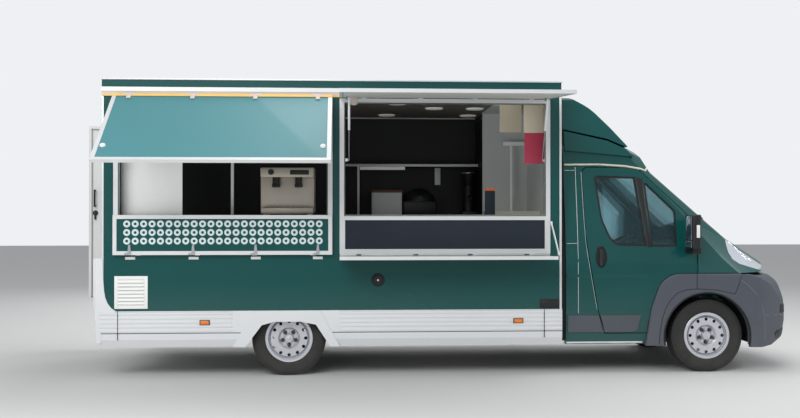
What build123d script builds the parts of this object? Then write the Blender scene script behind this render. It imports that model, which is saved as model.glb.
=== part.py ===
from build123d import *
from math import atan2, cos, hypot, radians, sin, tan, tau
import os

# A food truck: a front-wheel-drive van cab with a panel-built kitchen body behind it.
# Millimetres. +X points forward, +Y to the vehicle's left and +Z up. The origin is on the
# ground, on the centreline, midway between the two axles.

# Chassis and wheels
WHEELBASE = 4035.0
TRACK_FRONT = 1810.0
TRACK_REAR = 1790.0
TYRE_RADIUS = 350.0
TYRE_WIDTH = 222.0
BEAD_RADIUS = 206.0
RIM_FLANGE_RADIUS = 221.0
RIM_WIDTH = 190.0
RIM_WALL = 8.0
WHEEL_OFFSET = 52.0          # from the tyre's middle plane out to the hub's face
HUB_RADIUS = 66.0
BRAKE_DISC_RADIUS = 140.0
BRAKE_DISC_WIDTH = 24.0
HUB_GAP = 0.3
VENT_HOLES = 12
VENT_HOLE_RADIUS = 16.0
VENT_CIRCLE_RADIUS = 158.0
RIM_WELL_DEPTH = 17.0
NUTS = 5
NUT_CIRCLE_RADIUS = 65.0
NUT_RADIUS = 13.0
CAP_RADIUS = 41.0
KINGPIN_LEAN = 15.0          # degrees that the steering axis leans inwards at its top
KINGPIN_Y = TRACK_FRONT / 2 - 60    # where the lower ball joint sits
KINGPIN_Z = 232.0
STRUT_RADIUS = 25.0
STRUT_TOP = 905.0
RAIL_Y = 550.0
RAIL_WIDTH = 60.0
RAIL_HEIGHT = 140.0
RAIL_WALL = 6.0
CROSS_BEARER = 40.0          # height of the bearers between the rails and the kitchen's floor
SPRING_WIDTH = 60.0
SPRING_THICKNESS = 18.0
AXLE_TUBE_RADIUS = 40.0

# Kitchen body
BOX_REAR = -3750.0
BOX_FRONT = 576.0
BOX_HALF_WIDTH = TRACK_REAR / 2 + TYRE_WIDTH / 2 + 74
BOX_TOP = 2795.0
BOX_WALL = 40.0
ROOF_THICKNESS = 80.0
WALL_BOTTOM = 623.0
FLOOR_TOP = 690.0
FLOOR_THICKNESS = 50.0
PROFILE_HEIGHT = 40.0        # pale edge profile under the roof
PROFILE_DEPTH = 14.0
WHEEL_BOX_HALF_LENGTH = 425.0
WHEEL_BOX_Y = TRACK_REAR / 2 - TYRE_WIDTH / 2 - 39
WHEEL_BOX_TOP = 815.0
WHEEL_BOX_WALL = 12.0

# Skirts under the walls
SKIRT_TOP = 623.0
SKIRT_GROOVE = 415.0
SKIRT_BOTTOM = 285.0
SKIRT_THICKNESS = 30.0
SKIRT_OVERHANG = 23.0

# Hatches in the right-hand wall
HATCH_TOP = 2620.0
HATCH_BOTTOM = 1150.0
SILL_HEIGHT = 1520.0         # top of the lower panel, where the two flaps meet
FRAME_FACE = 48.0
FRAME_PROUD = 15.0
FLAP_THICKNESS = 28.0
FLAP_GAP = 6.0
FLAP_OPEN_FRONT = 85.7       # degrees from closed
FLAP_OPEN_REAR = 53.0
SHELF_THICKNESS = 28.0
STRUT_FLAP_PIN = 225.0       # down the flap from its hinge
STRUT_FRAME_PIN = 580.0      # down the frame from the flap's hinge
GAS_TUBE_RADIUS = 11.0
GAS_ROD_RADIUS = 5.0
GAS_TUBE_LENGTH = 308.0
GAS_ROD_LENGTH = 312.0
HATCHES = (                  # name, rear edge, front edge, flap angle, shelf angle
    ("rear", -3636.0, -1610.0, FLAP_OPEN_REAR, 0.0),
    ("front", -1535.0, 461.0, FLAP_OPEN_FRONT, 90.0),
)

# Rear door
DOOR_HINGE_Y = BOX_HALF_WIDTH - 118
DOOR_WIDTH = 620.0
DOOR_BOTTOM = 560.0
DOOR_TOP = 2525.0
DOOR_THICKNESS = 34.0
DOOR_CLEARANCE = 6.0

# Cab
CAB_REAR = 633.0
CAB_HALF_WIDTH = TRACK_FRONT / 2 + 120
CAB_TOP = 2254.0
CAB_WALL = 48.0
CAB_SILL = 278.0
CAB_FLOOR = 520.0
CAB_FLOOR_THICKNESS = 40.0
SILL_DEPTH = 105.0
FIREWALL_X = 1985.0
CANT_RAIL_Y = 858.0
CANT_RAIL_Z = 2212.0
CANT_RAIL_RADIUS = 90.0
ROOF_CROWN_RADIUS = 7000.0
LIP_TOP = ((1299.0, 2290.0), (1387.0, 2243.0))
LIP_TOP_RADIUS = 2650.0
LIP_FACE = ((1450.0, 2191.0), (1500.0, 2104.0))
LIP_FACE_RADIUS = 4500.0
SCREEN_RADIUS = 2900.0
SCREEN_TOP = (1547.0, 2063.0)
SCREEN_FOOT = (2377.0, 1345.0)
PILLAR_RADIUS = 1250.0
PILLAR_RISE = 209.0
PILLAR_REAR = 1300.0          # the pillars' rounding ends at this x, and below this height
PILLAR_BASE = 1700.0
BONNET_RADIUS = 2000.0
BONNET_BACK = (2300.0, 1412.0)
BONNET_NOSE = (2800.0, 1085.0)
NOSE_X = 2835.0
PANEL_GAP = 8.0
ARCH_RADIUS = 430.0
ARCH_CENTRE = (2010.0, 345.0)
ARCH_FACE = CAB_HALF_WIDTH + 21     # outer face of the arch mouldings
MOULDING_DEPTH = 55.0
GLASS_THICKNESS = 5.0
GLASS_INSET = 8.0
SEAL = 0.3

# Bumper
BUMPER_NOSE = 2965.0
BUMPER_WALL = 40.0
BUMPER_BOTTOM = 240.0
BUMPER_HALF_WIDTH = ARCH_FACE

# Worked out from the sizes above
FRONT_X = WHEELBASE / 2
REAR_X = -WHEELBASE / 2
FLOOR_BOTTOM = FLOOR_TOP - FLOOR_THICKNESS
RAIL_TOP = FLOOR_BOTTOM - CROSS_BEARER
RAIL_BOTTOM = RAIL_TOP - RAIL_HEIGHT
ROOF_BOTTOM = BOX_TOP - ROOF_THICKNESS
WALL_INNER = BOX_HALF_WIDTH - BOX_WALL
FRAME_FACE_Y = BOX_HALF_WIDTH + FRAME_PROUD
FLAP_INNER_Y = FRAME_FACE_Y + FLAP_GAP
skirt_face = BOX_HALF_WIDTH + 6
SIDES = (("right", -1), ("left", 1))

os.makedirs("parts", exist_ok=True)


def block(x, y, z):
    """Box between two values on each axis."""
    corner = Pos(min(x), min(y), min(z))
    size = (abs(x[1] - x[0]), abs(y[1] - y[0]), abs(z[1] - z[0]))
    return corner * Box(*size, align=(Align.MIN, Align.MIN, Align.MIN))


def side_form(outline, y, radii=0):
    """Prism across the vehicle, between two values of y, with an outline of (x, z) points."""
    points = [(px, min(y), pz) for px, pz in outline]
    return prism(points, radii, (0, 1, 0), abs(y[1] - y[0]))


def section_form(outline, x, radii=0):
    """Prism along the vehicle, between two values of x, with an outline of (y, z) points."""
    points = [(min(x), py, pz) for py, pz in outline]
    return prism(points, radii, (1, 0, 0), abs(x[1] - x[0]))


def plan_form(outline, z, radii=0):
    """Upright prism between two values of z, with an outline of (x, y) points."""
    points = [(px, py, min(z)) for px, py in outline]
    return prism(points, radii, (0, 0, 1), abs(z[1] - z[0]))


def prism(points, radii, direction, length):
    if radii == 0:
        line = Polyline(*points, close=True)
    else:
        line = FilletPolyline(*points, radius=radii, close=True)
    return extrude(make_face(line.edges()), amount=length, dir=direction)


def rod(start, end, radius):
    """Round bar between two points."""
    axis = Vector(*end) - Vector(*start)
    plane = Plane(origin=start, z_dir=axis)
    return extrude(plane * Circle(radius), amount=axis.length)


def both_sides(solid):
    """A solid and its mirror image on the vehicle's other side."""
    return [solid, mirror(solid, about=Plane.XZ)]


def save(name, *pieces):
    """One file for one node, with every solid of its pieces."""
    solids = []
    for piece in pieces:
        for item in (piece if isinstance(piece, (list, tuple)) else [piece]):
            solids.extend(item.solids())
    shape = solids[0] if len(solids) == 1 else Compound(solids)
    export_step(shape, f"parts/{name}.step")


# Wheels: a tyre on a pressed steel rim, made for the left side with its outer face to +Y
def tyre():
    bulge = TYRE_WIDTH / 2
    bead = RIM_WIDTH / 2 - 6 - SEAL
    half = [
        (0, BEAD_RADIUS), (bead, BEAD_RADIUS), (bead, RIM_FLANGE_RADIUS + 2), (bulge - 3, RIM_FLANGE_RADIUS + 40),
        (bulge, TYRE_RADIUS - 55), (bulge - 11, TYRE_RADIUS - 15), (bulge - 32, TYRE_RADIUS), (0, TYRE_RADIUS),
    ]
    return ring(half + [(-out, radius) for out, radius in reversed(half[1:-1])])


def rim():
    edge = RIM_WIDTH / 2
    seat = BEAD_RADIUS - SEAL
    well = seat - RIM_WELL_DEPTH
    weld = well - RIM_WALL + 4
    barrel = [
        (edge, RIM_FLANGE_RADIUS), (edge - 6, RIM_FLANGE_RADIUS), (edge - 6, seat),
        (edge - 32, seat), (edge - 48, well), (48 - edge, well), (32 - edge, seat),
        (6 - edge, seat), (6 - edge, RIM_FLANGE_RADIUS), (-edge, RIM_FLANGE_RADIUS),
        (-edge, seat - RIM_WALL), (30 - edge, seat - RIM_WALL), (46 - edge, well - RIM_WALL),
        (edge - 46, well - RIM_WALL), (edge - 30, seat - RIM_WALL), (edge, seat - RIM_WALL),
    ]
    face = WHEEL_OFFSET
    disc = [
        (face, 0), (face + RIM_WALL, 0), (face + RIM_WALL, 84), (face + 27, 104), (face + 27, weld - 11),
        (face - 12, weld), (face - 26, weld), (face + 17, weld - 17), (face + 17, 108), (face, 92),
    ]
    solid = ring(barrel) + ring(disc)
    for hole in range(VENT_HOLES):
        turn = Rot(0, 360 / VENT_HOLES * hole, 0)
        cut = rod((0, 0, VENT_CIRCLE_RADIUS), (0, RIM_WIDTH, VENT_CIRCLE_RADIUS), VENT_HOLE_RADIUS)
        solid -= turn * cut
    cap_base = face + RIM_WALL
    solid += rod((0, cap_base, 0), (0, cap_base + 22, 0), CAP_RADIUS)
    for nut in range(NUTS):
        turn = Rot(0, 360 / NUTS * nut, 0)
        seat_plane = Plane(origin=(0, cap_base, NUT_CIRCLE_RADIUS), z_dir=(0, 1, 0))
        solid += turn * extrude(seat_plane * RegularPolygon(NUT_RADIUS, 6), amount=18)
    return solid


def ring(profile):
    """Turned piece about the axle, from (distance out, radius) points."""
    line = Polyline(*[(0, out, radius) for out, radius in profile], close=True)
    return revolve(make_face(line.edges()), axis=Axis.Y)


TYRE = tyre()
RIM = rim()
AXLES = (("front", FRONT_X, TRACK_FRONT), ("rear", REAR_X, TRACK_REAR))
for end, axle_x, track in AXLES:
    for side, sign in SIDES:
        for kind, solid in (("tyre", TYRE), ("rim", RIM)):
            placed = Pos(axle_x, track / 2, TYRE_RADIUS) * solid
            if sign < 0:
                placed = mirror(placed, about=Plane.XZ)
            save(f"{kind}_{end}_{side}", placed)

# Rear axle: a tube with a hub and brake disc at each end, hung on two single-leaf springs
hub_face = TRACK_REAR / 2 + WHEEL_OFFSET - HUB_GAP
axle = rod((REAR_X, 0, TYRE_RADIUS), (REAR_X, hub_face - 120, TYRE_RADIUS), AXLE_TUBE_RADIUS)
axle += rod((REAR_X, hub_face - 130, TYRE_RADIUS), (REAR_X, hub_face, TYRE_RADIUS), HUB_RADIUS)
axle += rod(
    (REAR_X, hub_face - 100, TYRE_RADIUS),
    (REAR_X, hub_face - 100 + BRAKE_DISC_WIDTH, TYRE_RADIUS),
    BRAKE_DISC_RADIUS,
)
spring_z = TYRE_RADIUS + AXLE_TUBE_RADIUS - 2
spring_rise = 42.0
spring_reach = 680.0
spring = side_form(
    [
        (REAR_X - spring_reach, spring_z + spring_rise), (REAR_X - 90, spring_z),
        (REAR_X + 90, spring_z), (REAR_X + spring_reach, spring_z + spring_rise),
        (REAR_X + spring_reach, spring_z + spring_rise + SPRING_THICKNESS),
        (REAR_X + 90, spring_z + SPRING_THICKNESS), (REAR_X - 90, spring_z + SPRING_THICKNESS),
        (REAR_X - spring_reach, spring_z + spring_rise + SPRING_THICKNESS),
    ],
    (RAIL_Y - SPRING_WIDTH / 2, RAIL_Y + SPRING_WIDTH / 2),
)
axle += spring
for end in (-1, 1):
    eye_x = REAR_X + end * spring_reach
    axle += block(
        (eye_x - 22, eye_x + 22), (RAIL_Y - 24, RAIL_Y + 24), (spring_z + spring_rise, RAIL_BOTTOM)
    )
save("rear_axle", axle + mirror(axle, about=Plane.XZ))

# Front subframe: crossmember, lower arms and the two suspension struts
lean = tan(radians(KINGPIN_LEAN))


def kingpin_y(z):
    return KINGPIN_Y - (z - KINGPIN_Z) * lean


subframe_top = 330.0
subframe_y = 480.0
arm_z = (KINGPIN_Z - 30, KINGPIN_Z - 8)
subframe = block((FRONT_X - 160, FRONT_X + 480), (0, subframe_y), (subframe_top - 90, subframe_top))
subframe -= block((FRONT_X - 60, FRONT_X + 380), (0, subframe_y - 90), (subframe_top - 100, subframe_top + 10))
arm = plan_form(
    [
        (FRONT_X - 130, subframe_y - 30), (FRONT_X + 60, subframe_y - 30), (FRONT_X + 24, KINGPIN_Y - 60),
        (FRONT_X + 12, KINGPIN_Y + 2), (FRONT_X - 12, KINGPIN_Y + 2), (FRONT_X - 24, KINGPIN_Y - 60),
    ],
    arm_z,
)
lift = block((FRONT_X - 130, FRONT_X + 60), (subframe_y - 40, subframe_y), (arm_z[0], subframe_top - 60))
subframe += arm + lift
strut_foot = 566.0
strut = rod(
    (FRONT_X, kingpin_y(strut_foot), strut_foot), (FRONT_X, kingpin_y(STRUT_TOP - 12), STRUT_TOP - 12),
    STRUT_RADIUS,
)
strut += rod(
    (FRONT_X, kingpin_y(STRUT_TOP) , STRUT_TOP - 14), (FRONT_X, kingpin_y(STRUT_TOP), STRUT_TOP - SEAL), 58
)
save("front_subframe", subframe + mirror(subframe, about=Plane.XZ), both_sides(strut))

# Knuckles: each carries a front hub and brake disc, and turns about the leaning steering axis
front_hub = TRACK_FRONT / 2 + WHEEL_OFFSET - HUB_GAP
knuckle = rod((FRONT_X, front_hub - 150, TYRE_RADIUS), (FRONT_X, front_hub, TYRE_RADIUS), HUB_RADIUS)
knuckle += rod(
    (FRONT_X, front_hub - 96, TYRE_RADIUS),
    (FRONT_X, front_hub - 96 + BRAKE_DISC_WIDTH, TYRE_RADIUS),
    BRAKE_DISC_RADIUS,
)
knuckle += rod(
    (FRONT_X, kingpin_y(KINGPIN_Z), KINGPIN_Z), (FRONT_X, kingpin_y(strut_foot - SEAL), strut_foot - SEAL), 22
)
knuckle += block(
    (FRONT_X - 60, FRONT_X + 60), (front_hub - 150, front_hub - 104),
    (TYRE_RADIUS - 116, TYRE_RADIUS + 120),
)
save("knuckle_left", knuckle)
save("knuckle_right", mirror(knuckle, about=Plane.XZ))

# Chassis: two channel rails with crossmembers, and bearers that carry the kitchen's floor
rail_front = CAB_REAR - 8
rail = block(
    (BOX_REAR + 60, rail_front), (RAIL_Y - RAIL_WIDTH / 2, RAIL_Y + RAIL_WIDTH / 2), (RAIL_BOTTOM, RAIL_TOP)
)
rail -= block(
    (BOX_REAR + 50, rail_front + 10), (RAIL_Y - RAIL_WIDTH / 2 - 1, RAIL_Y + RAIL_WIDTH / 2 - RAIL_WALL),
    (RAIL_BOTTOM + RAIL_WALL, RAIL_TOP - RAIL_WALL),
)
cab_rail_y = 450.0
cab_rail_top = CAB_FLOOR - CAB_FLOOR_THICKNESS
cab_rail = block((rail_front - 200, NOSE_X - 60), (cab_rail_y - 30, cab_rail_y + 30), (cab_rail_top - 100, cab_rail_top))
rail_joint = block(
    (rail_front - 200, rail_front), (cab_rail_y - 30, RAIL_Y + RAIL_WIDTH / 2), (cab_rail_top - 100, RAIL_BOTTOM + 20)
)
frame = rail + cab_rail + rail_joint
for post_x in (FRONT_X - 120, FRONT_X + 420):
    frame += block((post_x - 40, post_x + 40), (cab_rail_y - 30, cab_rail_y + 30), (subframe_top, cab_rail_top - 50))
frame += mirror(frame, about=Plane.XZ)
rail_web = RAIL_Y + RAIL_WIDTH / 2 - RAIL_WALL
CROSSMEMBERS = (BOX_REAR + 100, REAR_X - 560, REAR_X + 620, -400.0, 420.0)
members = [
    block((member_x - 30, member_x + 30), (-rail_web, rail_web), (RAIL_BOTTOM + 20, RAIL_TOP - 20))
    for member_x in CROSSMEMBERS
]
BEARERS = (BOX_REAR + BOX_WALL + 27, -3150.0, REAR_X - 470, REAR_X + 470, -900.0, -250.0, BOX_FRONT - BOX_WALL - 27)
for bearer_x in BEARERS:
    bearer = block((bearer_x - 25, bearer_x + 25), (-WALL_INNER, WALL_INNER), (RAIL_TOP, FLOOR_BOTTOM))
    for sign in (-1, 1):
        bearer += block(
            (bearer_x - 25, bearer_x + 25), (sign * (WALL_INNER - 30), sign * (skirt_face - SKIRT_THICKNESS)),
            (SKIRT_GROOVE, WALL_BOTTOM - SEAL),
        )
    members.append(bearer)
save("chassis_frame", frame, members)

# Engine and gearbox: one plain block, across the vehicle on the subframe
save("engine_block", block((FRONT_X + 40, FRONT_X + 500), (-400, 400), (subframe_top + SEAL, 1010)))

# Fuel tank: a flat moulded tank between the rails, under the middle of the floor
tank = block((-700, 150), (-RAIL_Y + 40, RAIL_Y - 40), (300, RAIL_TOP - 30))
tank = fillet(tank.edges().filter_by(Axis.X), 40)
save("fuel_tank", tank - block((-470, -330), (-RAIL_Y, RAIL_Y), (RAIL_BOTTOM + 20 - SEAL, RAIL_TOP)))

# Exhaust: a pipe from the engine to a silencer outside the left rail
pipe_line = FilletPolyline(
    (FRONT_X - 170, 300, 300), (FRONT_X - 420, 300, 300), (500, 250, 300), (250, 700, 400), (-300, 700, 400),
    radius=90,
)
pipe = sweep(Plane(origin=pipe_line @ 0, z_dir=pipe_line % 0) * Circle(28), path=pipe_line)
silencer = rod((-300, 700, 400), (-950, 700, 400), 85)
tail = rod((-950, 700, 400), (-1300, 700, 400), 26)
hanger = block((-912, -892), (690, 710), (470, RAIL_TOP - SEAL))
save("exhaust", pipe + silencer + tail + hanger)

# Kitchen floor with a box over each rear wheel
floor = block((BOX_REAR + BOX_WALL, BOX_FRONT - BOX_WALL), (-WALL_INNER, WALL_INNER), (FLOOR_BOTTOM, FLOOR_TOP))
for side, sign in SIDES:
    box_x = (REAR_X - WHEEL_BOX_HALF_LENGTH, REAR_X + WHEEL_BOX_HALF_LENGTH)
    inner_x = (box_x[0] + WHEEL_BOX_WALL, box_x[1] - WHEEL_BOX_WALL)
    floor += block(box_x, (sign * WHEEL_BOX_Y, sign * WALL_INNER), (FLOOR_BOTTOM, WHEEL_BOX_TOP))
    floor -= block(
        inner_x, (sign * (WHEEL_BOX_Y + WHEEL_BOX_WALL), sign * (WALL_INNER + 5)),
        (FLOOR_BOTTOM - 5, WHEEL_BOX_TOP - WHEEL_BOX_WALL),
    )
save("box_floor", floor)

# Roof panel with a turned-down pale edge profile on both sides
roof = block((BOX_REAR, BOX_FRONT), (-BOX_HALF_WIDTH, BOX_HALF_WIDTH), (ROOF_BOTTOM, BOX_TOP))
save("box_roof", roof)
profile = block(
    (BOX_REAR - 4, BOX_FRONT + 4), (BOX_HALF_WIDTH, BOX_HALF_WIDTH + PROFILE_DEPTH),
    (ROOF_BOTTOM - PROFILE_HEIGHT, ROOF_BOTTOM),
)
save("roof_profiles", both_sides(profile))

# Right-hand wall, open at both hatches
right_wall = block((BOX_REAR, BOX_FRONT), (-BOX_HALF_WIDTH, -WALL_INNER), (WALL_BOTTOM, ROOF_BOTTOM))
for name, hatch_rear, hatch_front, flap_angle, shelf_angle in HATCHES:
    right_wall -= block(
        (hatch_rear + FRAME_FACE, hatch_front - FRAME_FACE), (-BOX_HALF_WIDTH - 5, -WALL_INNER + 5),
        (SILL_HEIGHT, HATCH_TOP - FRAME_FACE),
    )
save("box_wall_right", right_wall)
save("box_wall_left", block((BOX_REAR, BOX_FRONT), (WALL_INNER, BOX_HALF_WIDTH), (WALL_BOTTOM, ROOF_BOTTOM)))

# Front and rear walls stand between the side walls; the rear one has the doorway
front_wall = block((BOX_FRONT - BOX_WALL, BOX_FRONT), (-WALL_INNER, WALL_INNER), (WALL_BOTTOM, ROOF_BOTTOM))
save("box_wall_front", front_wall)
rear_wall = block((BOX_REAR, BOX_REAR + BOX_WALL), (-WALL_INNER, WALL_INNER), (WALL_BOTTOM, ROOF_BOTTOM))
doorway_y = (DOOR_HINGE_Y - DOOR_WIDTH, DOOR_HINGE_Y)
rear_wall -= block(
    (BOX_REAR - 5, BOX_REAR + BOX_WALL + 5), (doorway_y[0] + 12, doorway_y[1] - 14), (WALL_BOTTOM - 5, DOOR_TOP - 20)
)
door_axis_x = BOX_REAR - DOOR_CLEARANCE
door_hinges = (DOOR_BOTTOM + 260, (DOOR_BOTTOM + DOOR_TOP) / 2, DOOR_TOP - 200)
for hinge_z in door_hinges:
    rear_wall += rod((door_axis_x, DOOR_HINGE_Y, hinge_z + SEAL), (door_axis_x, DOOR_HINGE_Y, hinge_z + 50), 5)
    rear_wall += block((door_axis_x, BOX_REAR), (DOOR_HINGE_Y, DOOR_HINGE_Y + 30), (hinge_z + SEAL, hinge_z + 50))
save("box_wall_rear", rear_wall)

# Rear door: swung open a quarter turn about the hinge at the doorway's left side
door_panel = block(
    (door_axis_x - DOOR_WIDTH, door_axis_x), (DOOR_HINGE_Y, DOOR_HINGE_Y + DOOR_THICKNESS), (DOOR_BOTTOM, DOOR_TOP)
)
for hinge_z in door_hinges:
    door_panel -= rod((door_axis_x, DOOR_HINGE_Y, hinge_z - 2), (door_axis_x, DOOR_HINGE_Y, hinge_z + 54), 6)
    door_panel -= block(
        (door_axis_x - 7, door_axis_x + 1), (DOOR_HINGE_Y - 1, DOOR_HINGE_Y + DOOR_THICKNESS + 1), (hinge_z - 2, hinge_z + 54)
    )
    door_panel += rod((door_axis_x, DOOR_HINGE_Y, hinge_z - 50), (door_axis_x, DOOR_HINGE_Y, hinge_z), 5)
save("rear_door", door_panel)

# Skirts: ribbed side panels under the walls, open at the rear wheels
arch_opening = [
    (REAR_X - 408, SKIRT_BOTTOM - 10), (REAR_X - 249, 487), (REAR_X - 127, 519),
    (REAR_X + 107, 519), (REAR_X + 257, 490), (REAR_X + 398, SKIRT_BOTTOM - 10),
]
arch_frame = [
    (REAR_X - 518, SKIRT_BOTTOM), (REAR_X - 313, SKIRT_TOP), (REAR_X + 295, SKIRT_TOP), (REAR_X + 482, SKIRT_BOTTOM),
]
skirt_section = [
    (skirt_face - SKIRT_THICKNESS, SKIRT_TOP), (skirt_face, SKIRT_TOP), (skirt_face, SKIRT_GROOVE + 6),
    (skirt_face - 8, SKIRT_GROOVE), (skirt_face, SKIRT_GROOVE - 6), (skirt_face - 2, SKIRT_BOTTOM + 70),
    (skirt_face - 26, SKIRT_BOTTOM), (skirt_face - 26 - SKIRT_THICKNESS, SKIRT_BOTTOM),
    (skirt_face - SKIRT_THICKNESS, SKIRT_BOTTOM + 80),
]
skirt = section_form(skirt_section, (BOX_REAR - SKIRT_OVERHANG, BOX_FRONT + 5))
skirt += side_form(arch_frame, (skirt_face - 20, skirt_face + 8))
skirt -= side_form(arch_opening, (skirt_face - 90, skirt_face + 40))

# Rear corner mouldings, which carry the tail lamps
corner_outline = [
    (BOX_REAR - 60, 640), (BOX_REAR - 60, 1120), (BOX_REAR - 2, 1120), (BOX_REAR - 2, 330), (BOX_REAR - 40, 330),
]
corner = side_form(corner_outline, (DOOR_HINGE_Y + 44, BOX_HALF_WIDTH + 8))
save("box_skirts", both_sides(skirt + corner))
lamp = block((BOX_REAR - 72, BOX_REAR - 60), (DOOR_HINGE_Y + 56, BOX_HALF_WIDTH - 6), (700, 1080))
save("tail_lamps", both_sides(lamp))

# Hatch frames: aluminium profiles round both openings
frames = []
for name, hatch_rear, hatch_front, flap_angle, shelf_angle in HATCHES:
    outer = block(
        (hatch_rear, hatch_front), (-FRAME_FACE_Y, -BOX_HALF_WIDTH), (HATCH_BOTTOM, HATCH_TOP)
    )
    outer -= block(
        (hatch_rear + FRAME_FACE, hatch_front - FRAME_FACE), (-FRAME_FACE_Y - 5, -BOX_HALF_WIDTH + 5),
        (SILL_HEIGHT, HATCH_TOP - FRAME_FACE),
    )
    outer -= block(
        (hatch_rear + FRAME_FACE, hatch_front - FRAME_FACE), (-FRAME_FACE_Y - 5, -BOX_HALF_WIDTH + 5),
        (HATCH_BOTTOM + FRAME_FACE, SILL_HEIGHT - FRAME_FACE),
    )
    frames.append(outer)
HINGE_Y = FRAME_FACE_Y + FLAP_GAP / 2
UPPER_HINGE_Z = HATCH_TOP + 4
LOWER_HINGE_Z = HATCH_BOTTOM - 4
BARREL_RADIUS = 4.4
BARREL = 46.0


def hinge_places(hatch_rear, hatch_front):
    span = hatch_front - hatch_rear
    return [hatch_rear + span * share for share in (0.1, 0.37, 0.63, 0.9)]


def strut_places(hatch_rear, hatch_front):
    return (hatch_rear + FRAME_FACE + 36, hatch_front - FRAME_FACE - 20)


PIN_Y = -FLAP_INNER_Y + 16
FRAME_PIN_Y = -BOX_HALF_WIDTH + 14
for index, (name, hatch_rear, hatch_front, flap_angle, shelf_angle) in enumerate(HATCHES):
    for hinge_x in hinge_places(hatch_rear, hatch_front):
        fixed_x = (hinge_x + SEAL, hinge_x + BARREL)
        for hinge_z, edge, way in ((UPPER_HINGE_Z, HATCH_TOP, 1), (LOWER_HINGE_Z, HATCH_BOTTOM, -1)):
            frames[index] += rod((fixed_x[0], -HINGE_Y, hinge_z), (fixed_x[1], -HINGE_Y, hinge_z), BARREL_RADIUS)
            frames[index] += block(
                fixed_x, (-HINGE_Y, -BOX_HALF_WIDTH), (edge, edge + way * 6)
            )
    for pin_x in strut_places(hatch_rear, hatch_front):
        side = -1 if pin_x < (hatch_rear + hatch_front) / 2 else 1
        jamb = hatch_rear + FRAME_FACE if side < 0 else hatch_front - FRAME_FACE
        pin_z = HATCH_TOP - STRUT_FRAME_PIN
        stud = rod((pin_x + side * 20, FRAME_PIN_Y, pin_z), (pin_x + side * (6 + SEAL), FRAME_PIN_Y, pin_z), 6)
        stud += block(
            (pin_x + side * 12, jamb), (-BOX_HALF_WIDTH - 1, -BOX_HALF_WIDTH + 26), (pin_z - 14, pin_z + 14)
        )
        frames[index] += stud
save("hatch_frames", frames)
boards = []
for name, hatch_rear, hatch_front, flap_angle, shelf_angle in HATCHES:
    boards.append(
        block(
            (hatch_rear + FRAME_FACE + SEAL, hatch_front - FRAME_FACE - SEAL),
            (-BOX_HALF_WIDTH - 6, -BOX_HALF_WIDTH),
            (HATCH_BOTTOM + FRAME_FACE + SEAL, SILL_HEIGHT - FRAME_FACE - SEAL),
        )
    )
save("chalkboards", boards)


# Upper and lower flaps, turned about their hinges from the closed place
def upper_flap(hatch_rear, hatch_front):
    panel = block(
        (hatch_rear, hatch_front), (-FLAP_INNER_Y - FLAP_THICKNESS, -FLAP_INNER_Y),
        (SILL_HEIGHT + FLAP_GAP / 2, HATCH_TOP),
    )
    for hinge_x in hinge_places(hatch_rear, hatch_front):
        moving_x = (hinge_x - BARREL, hinge_x)
        panel += rod((moving_x[0], -HINGE_Y, UPPER_HINGE_Z), (moving_x[1], -HINGE_Y, UPPER_HINGE_Z), BARREL_RADIUS)
        panel += block(moving_x, (-HINGE_Y - 14, -HINGE_Y), (HATCH_TOP - SEAL, UPPER_HINGE_Z + 2))
    for pin_x in strut_places(hatch_rear, hatch_front):
        lug = block(
            (pin_x - 24, pin_x - 14), (-FLAP_INNER_Y, -FLAP_INNER_Y + 30),
            (HATCH_TOP - STRUT_FLAP_PIN - 14, HATCH_TOP - STRUT_FLAP_PIN + 14),
        )
        panel += lug
    return panel


def turned(solid, pivot_y, pivot_z, angle):
    """Turned about an axis along X: a positive angle lifts what hangs outside the right wall."""
    return Pos(0, pivot_y, pivot_z) * (Rot(-angle, 0, 0) * (Pos(0, -pivot_y, -pivot_z) * solid))


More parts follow.
